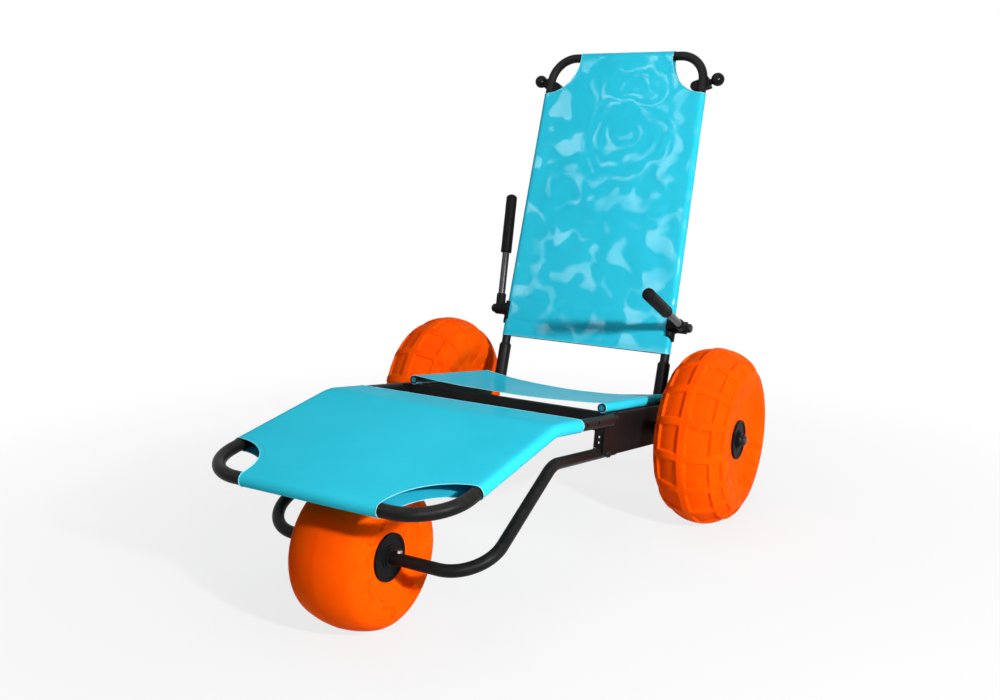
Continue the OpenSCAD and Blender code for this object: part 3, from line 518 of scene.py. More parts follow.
class EffectGroups:
    """Shader node groups that the finishes share, each made once."""

    def __init__(self) -> None:
        """Makes the groups."""
        self.mottle = self._mottle()
        self.grain = self._grain()
        self.weave = self._weave()
        self.scuffs = self._scuffs()
        self.dust = self._dust()
        self.patches = self._patches()

    @staticmethod
    def _new(name: str, inputs: dict[str, SocketKind | float], *outputs: str) -> tuple:
        """Starts a group with its named sockets.

        Args:
            name: Name of the group.
            inputs: Kind of each input, or the default of a number.
            *outputs: Names of the outputs: Colour is a colour and the others are numbers.

        Returns:
            A builder for the group's nodes, and the sockets of its input and its output node.
        """
        group = bpy.data.node_groups.new(name, "ShaderNodeTree")
        for key, value in inputs.items():
            number = not isinstance(value, SocketKind)
            kind = SocketKind.NUMBER if number else value
            socket = group.interface.new_socket(key, in_out="INPUT", socket_type=kind.value)
            if number:
                socket.default_value = value
        for key in outputs:
            kind = SocketKind.COLOUR if key == "Colour" else SocketKind.NUMBER
            group.interface.new_socket(key, in_out="OUTPUT", socket_type=kind.value)
        b = NodeBuilder(group)
        return b, b.add("NodeGroupInput").outputs, b.add("NodeGroupOutput").inputs

    def _mottle(self) -> bpy.types.NodeTree:
        """Slow drift between two colours."""
        inputs = {"Vector": SocketKind.VECTOR, "Scale": 6.0}
        inputs |= dict.fromkeys(("Colour", "Drift colour"), SocketKind.COLOUR)
        b, i, o = self._new("Colour drift", inputs, "Colour", "Mask")
        mask = b.span(b.noise(i["Vector"], i["Scale"], 4.0, 0.55), 0.34, 0.66)
        b.tree.links.new(b.mix(mask, i["Colour"], i["Drift colour"]), o["Colour"])
        b.tree.links.new(mask, o["Mask"])
        return b.tree

    def _grain(self) -> bpy.types.NodeTree:
        """Fine skin with a slower waviness under it."""
        numbers = {"Scale": 700.0, "Wave scale": 20.0, "Wave": 0.5}
        b, i, o = self._new("Skin grain", {"Vector": SocketKind.VECTOR, **numbers}, "Height")
        fine = b.noise(i["Vector"], i["Scale"], 2.0)
        slow = b.product(b.noise(i["Vector"], i["Wave scale"], 2.0), i["Wave"])
        b.tree.links.new(b.math("ADD", fine, slow), o["Height"])
        return b.tree

    def _weave(self) -> bpy.types.NodeTree:
        """Plain weave of a coated cloth, from surface coordinates in metres."""
        b, i, o = self._new("Plain weave", {"Vector": SocketKind.VECTOR, "Threads": 700.0}, "Height")
        parts = b.add("ShaderNodeSeparateXYZ", {0: i["Vector"]}).outputs
        turn = b.product(i["Threads"], 2 * math.pi)
        across, along = (b.math("SINE", b.product(parts[k], turn)) for k in (0, 1))
        b.tree.links.new(b.span(b.product(across, along), -1.0, 1.0), o["Height"])
        return b.tree

    def _scuffs(self) -> bpy.types.NodeTree:
        """Faint rubbed streaks."""
        inputs = {"Vector": SocketKind.VECTOR, "Scale": 18.0, "Amount": 0.4}
        b, i, o = self._new("Rubbed streaks", inputs, "Mask")
        drawn = b.vector("MULTIPLY", i["Vector"], (9.0, 1.0, 1.0))
        streak = b.span(b.noise(drawn, i["Scale"], 5.0, 0.65), 0.60, 0.74)
        patch = b.span(b.noise(i["Vector"], 7.0, 2.0), 0.48, 0.66)
        b.tree.links.new(b.product(streak, patch, i["Amount"]), o["Mask"])
        return b.tree

    def _dust(self) -> bpy.types.NodeTree:
        """Thin settled dust on faces that look up."""
        b, i, o = self._new("Settled dust", {"Vector": SocketKind.VECTOR, "Amount": 0.1}, "Mask")
        normal = b.add("ShaderNodeNewGeometry").outputs["Normal"]
        up = b.add("ShaderNodeSeparateXYZ", {0: normal}).outputs[2]
        speck = b.span(b.noise(i["Vector"], 55.0, 6.0, 0.7), 0.42, 0.72)
        b.tree.links.new(b.product(b.span(up, 0.25, 0.95), speck, i["Amount"]), o["Mask"])
        return b.tree

    def _patches(self) -> bpy.types.NodeTree:
        """Polished patches of a coating, with rings of narrow ones, from surface coordinates in metres."""
        inputs = {"Vector": SocketKind.VECTOR, "Scale": 19.0, "Amount": 1.0, "Rings": 0.0}
        b, i, o = self._new("Polished patches", inputs, "Mask")
        place = i["Vector"]
        drift = b.add("ShaderNodeTexNoise", {"Vector": place, "Scale": 11.0, "Detail": 1.0}).outputs["Color"]
        bent = b.vector("MULTIPLY_ADD", drift, (0.12, 0.12, 0.0), place)
        mask = b.span(b.noise(bent, i["Scale"], 0.0), 0.545, 0.655)
        strong = b.span(b.noise(place, 9.0, 1.0), 0.36, 0.56, 0.40, 1.0)
        broken = b.span(b.noise(place, 17.0, 1.0), 0.40, 0.58)
        for ring in POLISH_RINGS:
            aside = b.vector("SUBTRACT", bent, (ring.across, ring.along, 0.0))
            far = b.vector("LENGTH", b.vector("MULTIPLY", aside, (1 / ring.wide, 1.0, 0.0)))
            near = b.product(b.span(far, ring.reach, 1.2 * ring.reach, 1.0, 0.0), i["Rings"])
            wave = b.span(b.math("SINE", b.product(far, 2 * math.pi / ring.pitch)), 0.10, 0.95)
            lines = b.product(wave, broken, near)
            mask = b.math("MAXIMUM", b.product(mask, b.math("SUBTRACT", 1.0, near)), lines)
        b.tree.links.new(b.product(mask, strong, i["Amount"]), o["Mask"])
        return b.tree


DUST_COLOUR: Colour = (0.62, 0.55, 0.44)
DUST_ROUGH = 0.3
SCATTER_SHARES: Colour = (1.0, 0.06, 0.01)
SCATTER_DEPTH = 0.03
SHOW_LAYER_EDGE = (0.51, 0.55)
HIDDEN_POLISH = 0.25


@dataclass(frozen=True)
class Finish:
    """One finish of the chair and the values of its surface detail."""

    name: str
    surface: Surface
    colour: Colour
    drift: Colour
    rough: tuple[float, float]
    drift_scale: float = 6.0
    grain_scale: float = 700.0
    wave_scale: float = 20.0
    wave: float = 0.4
    bump: float = 0.1
    bump_height: float = 0.0002
    dust: float = 0.06
    scuffs: float = 0.25
    scuff_colour: Colour = (0.16, 0.16, 0.16)
    specular: float = 0.5
    metallic: float = 0.0
    coat: float = 0.0
    coat_rough: float = 0.2
    threads: float = 700.0
    rounding: float = 0.0
    gloss_tint: Colour = (1.0, 1.0, 1.0)
    patches: float = 0.0
    rings: float = 0.0
    glow: float = 0.0

    def build(self, groups: EffectGroups) -> bpy.types.Material:
        """Makes the material.

        Args:
            groups: Shared effects.

        Returns:
            The finished material.
        """
        made = bpy.data.materials.new(self.name)
        b = NodeBuilder.fresh(made)
        coords = b.add("ShaderNodeTexCoord").outputs
        place = coords["Object"]
        tones = {"Scale": self.drift_scale, "Colour": rgba(self.colour), "Drift colour": rgba(self.drift)}
        mottle = b.add("ShaderNodeGroup", {"Vector": place, **tones}, node_tree=groups.mottle).outputs
        scuffs = b.effect(groups.scuffs, {"Vector": place, "Amount": self.scuffs})
        dust = b.effect(groups.dust, {"Vector": place, "Amount": self.dust})
        worn = b.mix(scuffs, mottle["Colour"], rgba(self.scuff_colour))
        polish = b.span(mottle["Mask"], 0.0, 1.0, *self.rough)
        bump = {"Strength": self.bump, "Distance": self.bump_height}
        bump["Height"] = self._height(b, groups, coords)
        if self.rounding > 0:
            bump["Normal"] = b.add("ShaderNodeBevel", {"Radius": self.rounding}, samples=4).outputs[0]
        shader = b.add(
            "ShaderNodeBsdfPrincipled",
            {
                "Base Color": b.mix(dust, worn, rgba(DUST_COLOUR)),
                "Roughness": b.math("ADD", polish, b.product(dust, DUST_ROUGH)),
                "Normal": b.add("ShaderNodeBump", bump).outputs[0],
                "Metallic": self.metallic,
                "Specular IOR Level": self.specular,
                "Specular Tint": rgba(self.gloss_tint),
                "Subsurface Weight": self.glow,
                "Subsurface Radius": SCATTER_SHARES,
                "Subsurface Scale": SCATTER_DEPTH,
                "Coat Weight": self._polish(b, groups, coords["UV"]) if self.patches else self.coat,
                "Coat Roughness": self.coat_rough,
            },
        )
        b.add("ShaderNodeOutputMaterial", {"Surface": shader.outputs[0]})
        return made

    def _height(self, b: NodeBuilder, groups: EffectGroups, coords: bpy.types.NodeOutputs) -> Socket:
        """Surface height of the finish's kind of detail."""
        scales = {"Scale": self.grain_scale, "Wave scale": self.wave_scale, "Wave": self.wave}
        grain = b.effect(groups.grain, {"Vector": coords["Object"], **scales}, "Height")
        if self.surface is not Surface.WOVEN:
            return grain
        weave = b.effect(groups.weave, {"Vector": coords["UV"], "Threads": self.threads}, "Height")
        return b.math("ADD", weave, grain)

    def _polish(self, b: NodeBuilder, groups: EffectGroups, surface: Socket) -> Socket:
        """Where the coating is better polished: mostly on the layer that is leaned on."""
        across = b.add("ShaderNodeSeparateXYZ", {0: surface}).outputs[0]
        amount = b.span(across, *SHOW_LAYER_EDGE, self.patches, HIDDEN_POLISH * self.patches)
        return b.effect(groups.patches, {"Vector": surface, "Amount": amount, "Rings": self.rings})


COATED_CLOTH = dict(
    rough=(0.20, 0.26), drift_scale=4.0, grain_scale=160.0, wave_scale=30.0, wave=0.3, bump=0.04,
    bump_height=0.0003, dust=0.008, scuffs=0.03, scuff_colour=(0.10, 0.62, 0.76),
)

FINISHES: dict[str, Finish] = {finish.name: finish for finish in (
    Finish(
        "wheel_orange", Surface.MOULDED, (0.90, 0.072, 0.0006), (0.94, 0.092, 0.0008), (0.32, 0.42),
        drift_scale=5.0, grain_scale=420.0, wave_scale=16.0, wave=1.2, bump=0.18, bump_height=0.0007,
        dust=0.008, scuffs=0.06, scuff_colour=(0.95, 0.20, 0.02), specular=0.003,
        gloss_tint=(1.0, 0.60, 0.05), glow=0.4,
    ),
    Finish(
        "sling_teal", Surface.WOVEN, (0.024, 0.505, 0.670), (0.032, 0.545, 0.710), **COATED_CLOTH,
        specular=0.0008, gloss_tint=(0.08, 0.80, 0.92), patches=0.02,
    ),
    # The backrest is the same coated cloth as the other slings. Its colour is set darker than sling_teal as
    # painted shade, offsetting the brighter lamp light that falls on the backrest.
    Finish(
        "back_teal", Surface.WOVEN, (0.018, 0.455, 0.615), (0.026, 0.495, 0.655), **COATED_CLOTH,
        specular=0.03, gloss_tint=(0.20, 0.80, 0.90), patches=1.0, rings=1.0, coat_rough=0.16,
    ),
    Finish(
        "frame_black", Surface.COATED, (0.0055, 0.0054, 0.0053), (0.0090, 0.0088, 0.0086), (0.34, 0.46),
        drift_scale=9.0, grain_scale=520.0, wave_scale=45.0, wave=0.3, bump=0.12, bump_height=0.0003,
        dust=0.02, scuffs=0.15, scuff_colour=(0.04, 0.04, 0.04), specular=0.07, rounding=0.0006,
    ),
    Finish(
        "black_plastic", Surface.MOULDED, (0.0040, 0.0040, 0.0042), (0.0065, 0.0065, 0.0068), (0.40, 0.52),
        grain_scale=900.0, bump=0.2, bump_height=0.0003, dust=0.01, scuffs=0.10, specular=0.04,
        rounding=0.0009,
    ),
    Finish(
        "gloss_black", Surface.MOULDED, (0.004, 0.004, 0.004), (0.006, 0.006, 0.006), (0.16, 0.22),
        grain_scale=300.0, bump=0.03, dust=0.005, scuffs=0.05, specular=0.03, coat=0.10, coat_rough=0.14,
    ),
    Finish(
        "grip_foam", Surface.FOAM, (0.0035, 0.0035, 0.0037), (0.0060, 0.0060, 0.0063), (0.44, 0.58),
        grain_scale=1300.0, wave_scale=120.0, wave=0.5, bump=0.18, bump_height=0.0004, dust=0.005,
        scuffs=0.05, specular=0.04,
    ),
    Finish(
        "bolt_steel", Surface.BARE_METAL, (0.50, 0.51, 0.53), (0.60, 0.61, 0.62), (0.22, 0.34),
        grain_scale=1500.0, bump=0.08, dust=0.03, scuffs=0.3, metallic=1.0, rounding=0.0005,
    ),
    Finish(
        "arm_gunmetal", Surface.COATED, (0.022, 0.022, 0.023), (0.032, 0.032, 0.033), (0.20, 0.28),
        grain_scale=900.0, bump=0.06, dust=0.01, scuffs=0.10, metallic=0.4, specular=0.2,
    ),
    Finish(
        "bolt_black", Surface.COATED, (0.010, 0.010, 0.011), (0.016, 0.016, 0.017), (0.30, 0.42),
        grain_scale=800.0, dust=0.02, specular=0.1, rounding=0.0012,
    ),
    Finish(
        "plug_teal", Surface.MOULDED, (0.010, 0.150, 0.250), (0.014, 0.190, 0.300), (0.34, 0.46),
        specular=0.2, rounding=0.0006,
    ),
    Finish(
        "cut_edge", Surface.FOAM, (0.16, 0.60, 0.70), (0.26, 0.68, 0.76), (0.55, 0.70),
        grain_scale=2600.0, bump=0.3, dust=0.02, scuffs=0.05,
    ),
    Finish(
        "thread", Surface.FOAM, (0.016, 0.330, 0.470), (0.022, 0.380, 0.520), (0.55, 0.70),
        grain_scale=4000.0, bump=0.3, bump_height=0.0001, dust=0.02, scuffs=0.05,
    ),
)}

# Nodes whose finish differs from their slot's
NODE_FINISHES: dict[str, str] = {
    **dict.fromkeys(("arm_tube_left", "arm_tube_right"), "arm_gunmetal"),
    **dict.fromkeys(("front_bushes", "rear_bushes_left", "rear_bushes_right"), "black_plastic"),
    **dict.fromkeys(("axle_washers", "axle_nuts"), "bolt_black"),
}


class Wardrobe:
    """Materials by finish, made when first asked for."""

    def __init__(self) -> None:
        """Makes the shared effects."""
        self.groups = EffectGroups()
        self._made: dict[str, bpy.types.Material] = {}

    def get(self, name: str) -> bpy.types.Material:
        """The material of a finish."""
        if name not in self._made:
            self._made[name] = FINISHES[name].build(self.groups)
        return self._made[name]

    def dress_nodes(self, frame: dict) -> None:
        """Gives every CAD node the material of its slot, or one of its own.
        """
        finishes = {s["node"]: s["material_slot"] for s in frame["record"]["subparts"]} | NODE_FINISHES
        for name, node in frame["nodes"].items():
            node.data.materials.clear()
            node.data.materials.append(self.get(finishes[name]))


# ---- Slings ----


def declare_sling(pieces: list[Piece], body: str, node: str, **sheet: object) -> list[Piece]:
    """Fastens a sling's pieces to a body and hides the CAD node that the cloth replaces.

    Args:
        pieces: The cloth, its cut edges and its seams.
        body: Body that they ride on.
        node: CAD node that the cloth replaces.
        **sheet: The cloth's flat size and what it rests on; not used.

    Returns:
        The same pieces.
    """
    for made in pieces:
        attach(made, body)
    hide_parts(node)
    return pieces


@dataclass
class SleeveSling:
    """A double-layer sleeve pulled over a U-shaped tube frame, with scooped corners at the closed end.

    The show layer is the one that the occupant touches.
    """

    name: str
    node: str
    body: str
    start: float
    end: float
    half_at: Callable[[Array], Array]
    place: Callable[[Array, Array, Array], Array]
    relief: Callable[[Array, Array, bool], Array]
    radius: float
    scoop_x: float
    scoop_t: float
    scoop_r: float
    rows: int
    flat: tuple[float, float]
    area: float
    rests_on: str
    columns: tuple[int, int] = (17, 19)
    cloth: str = "sling_teal"
    seam: float = 0.011
    edge_r: float = 0.0009
    wrap_steps: int = 11
    end_steps: int = 13
    end_uv: tuple[float, float] = (1.0, 0.003)
    points: list[Array] = field(default_factory=list)
    faces: Faces = field(default_factory=list)
    uv: list[Corners] = field(default_factory=list)

    def scoop_end(self, x: Array) -> Array:
        """How far along the frame the cloth reaches at a distance from the middle."""
        inside = np.clip(self.scoop_r**2 - (np.abs(x) - self.scoop_x) ** 2, 0.0, None)
        return self.scoop_t - np.sqrt(inside)

    def half_width(self, along: float) -> float:
        """Half the distance between the frame's tubes at one place."""
        return float(self.half_at(np.array(along)))

    def shares(self) -> tuple[Array, int]:
        """Columns of one half of a layer, as shares of the half-width, and how many reach the end tube."""
        edge = self.half_width(self.scoop_t - self.scoop_r)
        inner = (self.scoop_x - self.scoop_r) / self.half_width(self.end)
        central = np.linspace(0.0, inner, self.columns[0])
        last = math.acos(np.clip((self.scoop_x - edge) / self.scoop_r, -1, 1))
        turn = np.linspace(0.0, last, self.columns[1])[1:]
        outer = (self.scoop_x - self.scoop_r * np.cos(turn)) / edge
        outer = inner + (outer - outer[0]) * (1.0 - inner) / (outer[-1] - outer[0])
        outer[0] = inner + 0.3 * (outer[1] - inner)
        return np.r_[central, outer], len(central)

    def layer_point(self, share: Array, along: Array, show: bool) -> Array:
        """A point of a layer.

        Args:
            share: Place across, from -1 at one tube to 1 at the other.
            along: Distance along the frame.
            show: Whether it is on the show layer.

        Returns:
            Points in the row frame.
        """
        x = share * self.half_at(along)
        rise = self.radius + self.relief(x, along, show)
        return self.place(x, rise if show else -rise, along)

    def column_end(self, share: float, central: bool) -> float:
        """Where a column of a layer ends."""
        if central:
            return self.end
        at = self.scoop_t - self.scoop_r
        for _ in range(6):
            at = float(self.scoop_end(np.array(share * self.half_at(np.array(at)))))
        return at

    def build(self, wardrobe: Wardrobe) -> list[Piece]:
        """Builds the sleeve with its cut edges and seams.

        Args:
            wardrobe: Where the materials come from.

        Returns:
            The sleeve, its edges and its seams.
        """
        half, central = self.shares()
        share = np.r_[-half[:0:-1], half]
        is_central = np.r_[np.arange(len(half))[:0:-1] < central, np.arange(len(half)) < central]
        wrap = np.linspace(math.pi / 2, -math.pi / 2, self.wrap_steps)[1:-1]
        span = np.linspace(0.0, 1.0, self.rows)
        columns: list[Array] = []
        ends: list[float] = []
        for show in (True, False):
            for i in range(len(share)) if show else range(len(share) - 1, -1, -1):
                stop = self.column_end(share[i], is_central[i])
                along = self.start + (stop - self.start) * span
                columns.append(self.layer_point(np.full_like(along, share[i]), along, show))
                ends.append(stop)
            side = 1.0 if show else -1.0
            for turn in wrap if show else wrap[::-1]:
                reach = self.half_width(self.scoop_t - self.scoop_r) + self.radius * math.cos(turn)
                stop = float(self.scoop_end(np.array(min(reach, self.scoop_x + self.scoop_r))))
                along = self.start + (stop - self.start) * span
                x = side * (self.half_at(along) + self.radius * math.cos(turn))
                columns.append(self.place(x, np.full_like(along, self.radius * math.sin(turn)), along))
                ends.append(stop)
        self._loop(columns, ends, span)
        self._closed_end(share, is_central, len(wrap))
        points = np.concatenate(self.points)
        edges = join_parts(swept_tube(points[loop], self.edge_r, True) for loop in boundary_loops(self.faces))
        pieces = [
            make_object(self.name, points, self.faces, wardrobe.get(self.cloth), self.uv),
            make_object(f"{self.name}_edges", *edges, wardrobe.get("cut_edge")),
            make_object(f"{self.name}_seams", *Thread().sew(self.seam_rows()), wardrobe.get("thread")),
        ]
        return declare_sling(
            pieces, self.body, self.node, flat=self.flat, area=self.area, rests_on=[self.rests_on]
        )

    def _loop(self, columns: list[Array], ends: list[float], span: Array) -> None:
        """Joins the columns all round the frame's two long tubes."""
        self.points = [np.concatenate(columns)]
        count = len(span)
        hem = np.array([c[0] for c in columns])
        across = np.r_[0.0, np.cumsum(np.linalg.norm(np.roll(hem, -1, 0) - hem, axis=1))]
        for c in range(len(columns)):
            n = (c + 1) % len(columns)
            a, b = (self.start + (ends[k] - self.start) * span for k in (c, n))
            left, right = across[c], across[c + 1]
            for r in range(count - 1):
                low, high = c * count + r, n * count + r
                self.faces.append((low, high, high + 1, low + 1))
                self.uv.append([(left, a[r]), (right, b[r]), (right, b[r + 1]), (left, a[r + 1])])

    def _closed_end(self, share: Array, is_central: Array, wraps: int) -> None:
        """Carries the middle columns over the end tube to the other layer."""
        count, wide = self.rows, len(share)
        turn = np.linspace(math.pi / 2, -math.pi / 2, self.end_steps)[1:-1]
        first = len(self.points[0])
        picks = [i for i in range(wide) if is_central[i]]
        half = self.half_width(self.end)
        rows = []
        for i in picks:
            x = np.full_like(turn, share[i] * half)
            rows.append(self.place(x, self.radius * np.sin(turn), self.end + self.radius * np.cos(turn)))
        self.points.append(np.concatenate(rows))
        aside, step = self.end_uv
        for k, pair in enumerate(zip(picks, picks[1:])):
            strips = []
            for p, column in enumerate(pair, k):
                hidden = wide + wraps + (wide - 1 - column)
                over = [first + p * len(turn) + j for j in range(len(turn))]
                strips.append([column * count + count - 1, *over, hidden * count + count - 1])
            u = tuple(share[i] * half + aside for i in pair)
            for j in range(len(turn) + 1):
                self.faces.append((strips[0][j], strips[1][j], strips[1][j + 1], strips[0][j + 1]))
                self.uv.append(quad_uv(u, (self.end + j * step, self.end + (j + 1) * step)))

    def seam_rows(self) -> list[tuple[Array, Array]]:
        """Seam lines beside the hem and the scoops, with the cloth's normals."""
        reach = self.scoop_r + self.seam
        turn = np.radians(np.linspace(6.0, 86.0, 120))
        along = self.scoop_t - reach * np.sin(turn)
        x = self.scoop_x - reach * np.cos(turn)
        keep = x < self.half_at(along) * 0.99
        scoop, along = x[keep] / self.half_at(along[keep]), along[keep]
        hem = np.linspace(-0.985, 0.985, 240)
        lines = [(hem, np.full_like(hem, self.start + self.seam)), (scoop, along), (-scoop, along)]
        found = []
        for show in (True, False):
            for share, at in lines:
                here = self.layer_point(share, at, show)
                aside = self.layer_point(share + 0.004, at, show) - here
                ahead = self.layer_point(share, at + 0.001, show) - here
                normal = np.cross(aside, ahead)
                middle = share * 0
                outer = middle + (1.0 if show else -1.0)
                out = self.place(middle, outer, at) - self.place(middle, middle, at)
                found.append((here, unit(normal * np.sign((normal * out).sum(1, keepdims=True)))))
        return found


@dataclass(frozen=True)
class WaveRing:
    """Ripples round one place of the backrest's cloth."""

    x: float
    along: float
    wide: float
    pitch: float
    ring: float
    reach: float
    height: float


class ClothRelief:
    """Folds and slack of the two sleeves, as heights over their flat layers."""

    EDGE_X = 0.245
    CROSS_TUBE = 0.101
    TUBE_GAP = 0.0003
    SLACK = 0.0012
    LEG_END = 0.795
    RINGS: tuple[WaveRing, ...] = (
        WaveRing(0.040, 0.639, 1.15, 0.036, 0.080, 0.050, 0.00050),
        WaveRing(0.045, 0.775, 1.70, 0.024, 0.030, 0.035, 0.00034),
        WaveRing(-0.030, 0.735, 1.20, 0.026, 0.040, 0.030, 0.00030),
    )

    @staticmethod
    def back(x: Array, along: Array, show: bool) -> Array:
        """Shallow waves of the backrest's layers, held off the cross tube behind them."""
        x, along = np.broadcast_arrays(np.asarray(x, float), np.asarray(along, float))
        flat = at_each(lambda a, b: ClothRelief._waves(a, b, show), x, along)
        edge = smooth_step(ClothRelief.EDGE_X - np.abs(x), 0.004, 0.05)
        hem = smooth_step(along, 0.03, 0.10) * smooth_step(LAYOUT.back_top - along, 0.004, 0.05)
        beside = smooth_step(np.abs(along - ClothRelief.CROSS_TUBE), 0.018, 0.060)
        over_tube = ClothRelief.TUBE_GAP - 0.005 * beside
        return np.maximum((flat - ClothRelief.SLACK) * edge * hem, over_tube)

    @staticmethod
    def _waves(x: float, along: float, show: bool) -> float:
        """Height of the backrest's waves at one place, with rings of finer ones in the upper middle."""
        shift = 0.0 if show else 7.3
        warp = noise.noise_vector(Vector((x * 9.0, along * 9.0, 2.1 + shift)))
        fine = noise.noise_vector(Vector((x * 27.0, along * 27.0, 6.4 + shift)))
        px, py = x + 0.020 * warp.x + 0.005 * fine.x, along + 0.020 * warp.y + 0.005 * fine.y
        calm = 1.0 - 0.55 * math.exp(-(((along - 0.70) / 0.14) ** 2))
        height = 0.0017 * calm * noise.noise(Vector((px * 15.0, py * 13.0, 4.7 + shift)))
        height += 0.0012 * noise.noise(Vector((px * 5.0, py * 5.0, 1.9 + shift)))
        for r in ClothRelief.RINGS:
            far = math.hypot((px - r.x) / r.wide, py - r.along)
            broken = 0.55 + 0.9 * noise.noise(Vector((x * 14.0, along * 14.0, 8.8 + r.ring)))
            swell = math.exp(-(((far - r.ring) / r.reach) ** 2)) * max(broken, 0.0)
            height += r.height * swell * math.sin(far * 2 * math.pi / r.pitch + 1.1 + 2.0 * warp.z)
        return height

    @staticmethod
    def leg(x: Array, along: Array, show: bool) -> Array:
        """A taut layer with a very slight hollow between the rails."""
        x, along = np.broadcast_arrays(np.asarray(x, float), np.asarray(along, float))
        share = np.clip(np.abs(x) / LAYOUT.leg_half, 0.0, 1.0)
        hollow = (1 - share**2) * smooth_step(along, 0.22, 0.34)
        hollow = hollow * smooth_step(ClothRelief.LEG_END - along, 0.0, 0.12)
        shift = 3.3 if show else 8.1
        slow = at_each(lambda a, b: noise.noise(Vector((a * 5.0, b * 6.0, shift))), x, along)
        return -0.003 * hollow + 0.0014 * slow * hollow


def back_sling() -> SleeveSling:
    """The backrest's sleeve."""
    return SleeveSling(
        name="back_sling_cloth", node="back_sleeve", body="backrest", start=0.024, end=LAYOUT.back_top,
        half_at=LAYOUT.back_half_at, place=lambda x, h, t: LAYOUT.upright(x, -np.asarray(h), t),
        relief=ClothRelief.back, radius=0.0137, scoop_x=LAYOUT.back_top_half + 0.013,
        scoop_t=LAYOUT.back_top - 0.005, scoop_r=0.106, rows=220, columns=(35, 29),
        flat=(0.530, 1.731), area=0.860, rests_on="back_frame", cloth="back_teal",
    )


def leg_sling() -> SleeveSling:
    """The leg rest's sleeve."""
    end = LAYOUT.leg_length()
    return SleeveSling(
        name="leg_sling_cloth", node="leg_sleeve", body="legrest", start=0.230, end=end,
        half_at=lambda t: np.full(np.shape(t), LAYOUT.leg_half), place=LAYOUT.leg,
        relief=ClothRelief.leg, radius=0.0152, scoop_x=LAYOUT.leg_half, scoop_t=end, scoop_r=0.130,
        rows=96, flat=(0.645, 1.177), area=0.677, rests_on="leg_frame",
    )


@dataclass
class SeatSling:
    """Sheet that hangs between the two seat tubes and is sleeved round each."""

    name: str = "seat_sling_cloth"
    node: str = "seat_sling"
    body: str = "chassis"
    radius: float = 0.0116
    front: float = -0.390
    rear: float = -0.011
    front_sag: float = 0.010
    rear_sag: float = 0.021
    rows: int = 60
    loop_steps: int = 30
    hang_steps: int = 71
    edge_r: float = 0.0008
    wave: float = 0.0012
    hem_row: int = 2
    hem_from: int = 24
    loop_seam: int = 34

    def section(self, sag: float) -> Array:
        """Line across the sling, from under one tube over its outside to the other.

        Args:
            sag: Depth of the hang below the tubes' tops.

        Returns:
            Points as x and height over the tubes' axes.
        """
        half, r = LAYOUT.seat_half, self.radius
        turn = np.radians(np.linspace(-150.0, 90.0, self.loop_steps))
        right = np.stack([half + r * np.cos(turn), r * np.sin(turn)], -1)
        x = np.linspace(half, -half, self.hang_steps)[1:-1]
        share = np.abs(x) / half
        hang = np.stack([x, r - sag * (1 - share**2.2)], -1)
        left = right[::-1] * np.array([-1.0, 1.0])
        return np.concatenate([right, hang, left])

    def build(self, wardrobe: Wardrobe) -> list[Piece]:
        """Builds the sling with its hem edges and seams.

        Args:
            wardrobe: Where the materials come from.

        Returns:
            The sling, its edges and its seams.
        """
        points, along = [], np.linspace(self.front, self.rear, self.rows)
        for back in along:
            share = (back - self.front) / (self.rear - self.front)
            x, rise = self.section(self.front_sag + (self.rear_sag - self.front_sag) * share).T
            slow = np.array([noise.noise(Vector((a * 9.0, back * 8.0, 5.5))) for a in x])
            inner = smooth_step(LAYOUT.seat_half - np.abs(x), 0.01, 0.08)
            points.append(LAYOUT.chassis(x, back, LAYOUT.seat_rise + rise + self.wave * slow * inner))
        grid = np.array(points)
        count = grid.shape[1]
        steps = lengths_along(grid[0])
        faces, uv = [], []
        for r in range(self.rows - 1):
            for c in range(count - 1):
                a = r * count + c
                faces.append((a, a + 1, a + count + 1, a + count))
                uv.append(quad_uv((steps[c], steps[c + 1]), (along[r], along[r + 1])))
        edges = join_parts(swept_tube(line, self.edge_r) for line in (grid[0], grid[-1]))
        pieces = [
            make_object(self.name, grid.reshape(-1, 3), faces, wardrobe.get("sling_teal"), uv),
            make_object(f"{self.name}_edges", *edges, wardrobe.get("cut_edge")),
            make_object(f"{self.name}_seams", *Thread().sew(self.seam_rows(grid)), wardrobe.get("thread")),
        ]
        return declare_sling(
            pieces, self.body, self.node, flat=(float(steps[-1]), self.rear - self.front),
            rests_on=["seat_tube_left", "seat_tube_right"],
        )

    def seam_rows(self, grid: Array) -> list[tuple[Array, Array]]:
        """Seam lines along both hems and both tube loops, with the cloth's normals."""
        up = LAYOUT.chassis(0, 0, 1.0) - LAYOUT.chassis(0, 0, 0.0)
        middle = grid.shape[1] // 2
        lines = [grid[r][self.hem_from:-self.hem_from] for r in (self.hem_row, self.rows - 1 - self.hem_row)]
        lines += [grid[:, middle + side * (middle - self.loop_seam)] for side in (1, -1)]
        return [(line, np.tile(up, (len(line), 1))) for line in lines]


# ---- Wheels ----


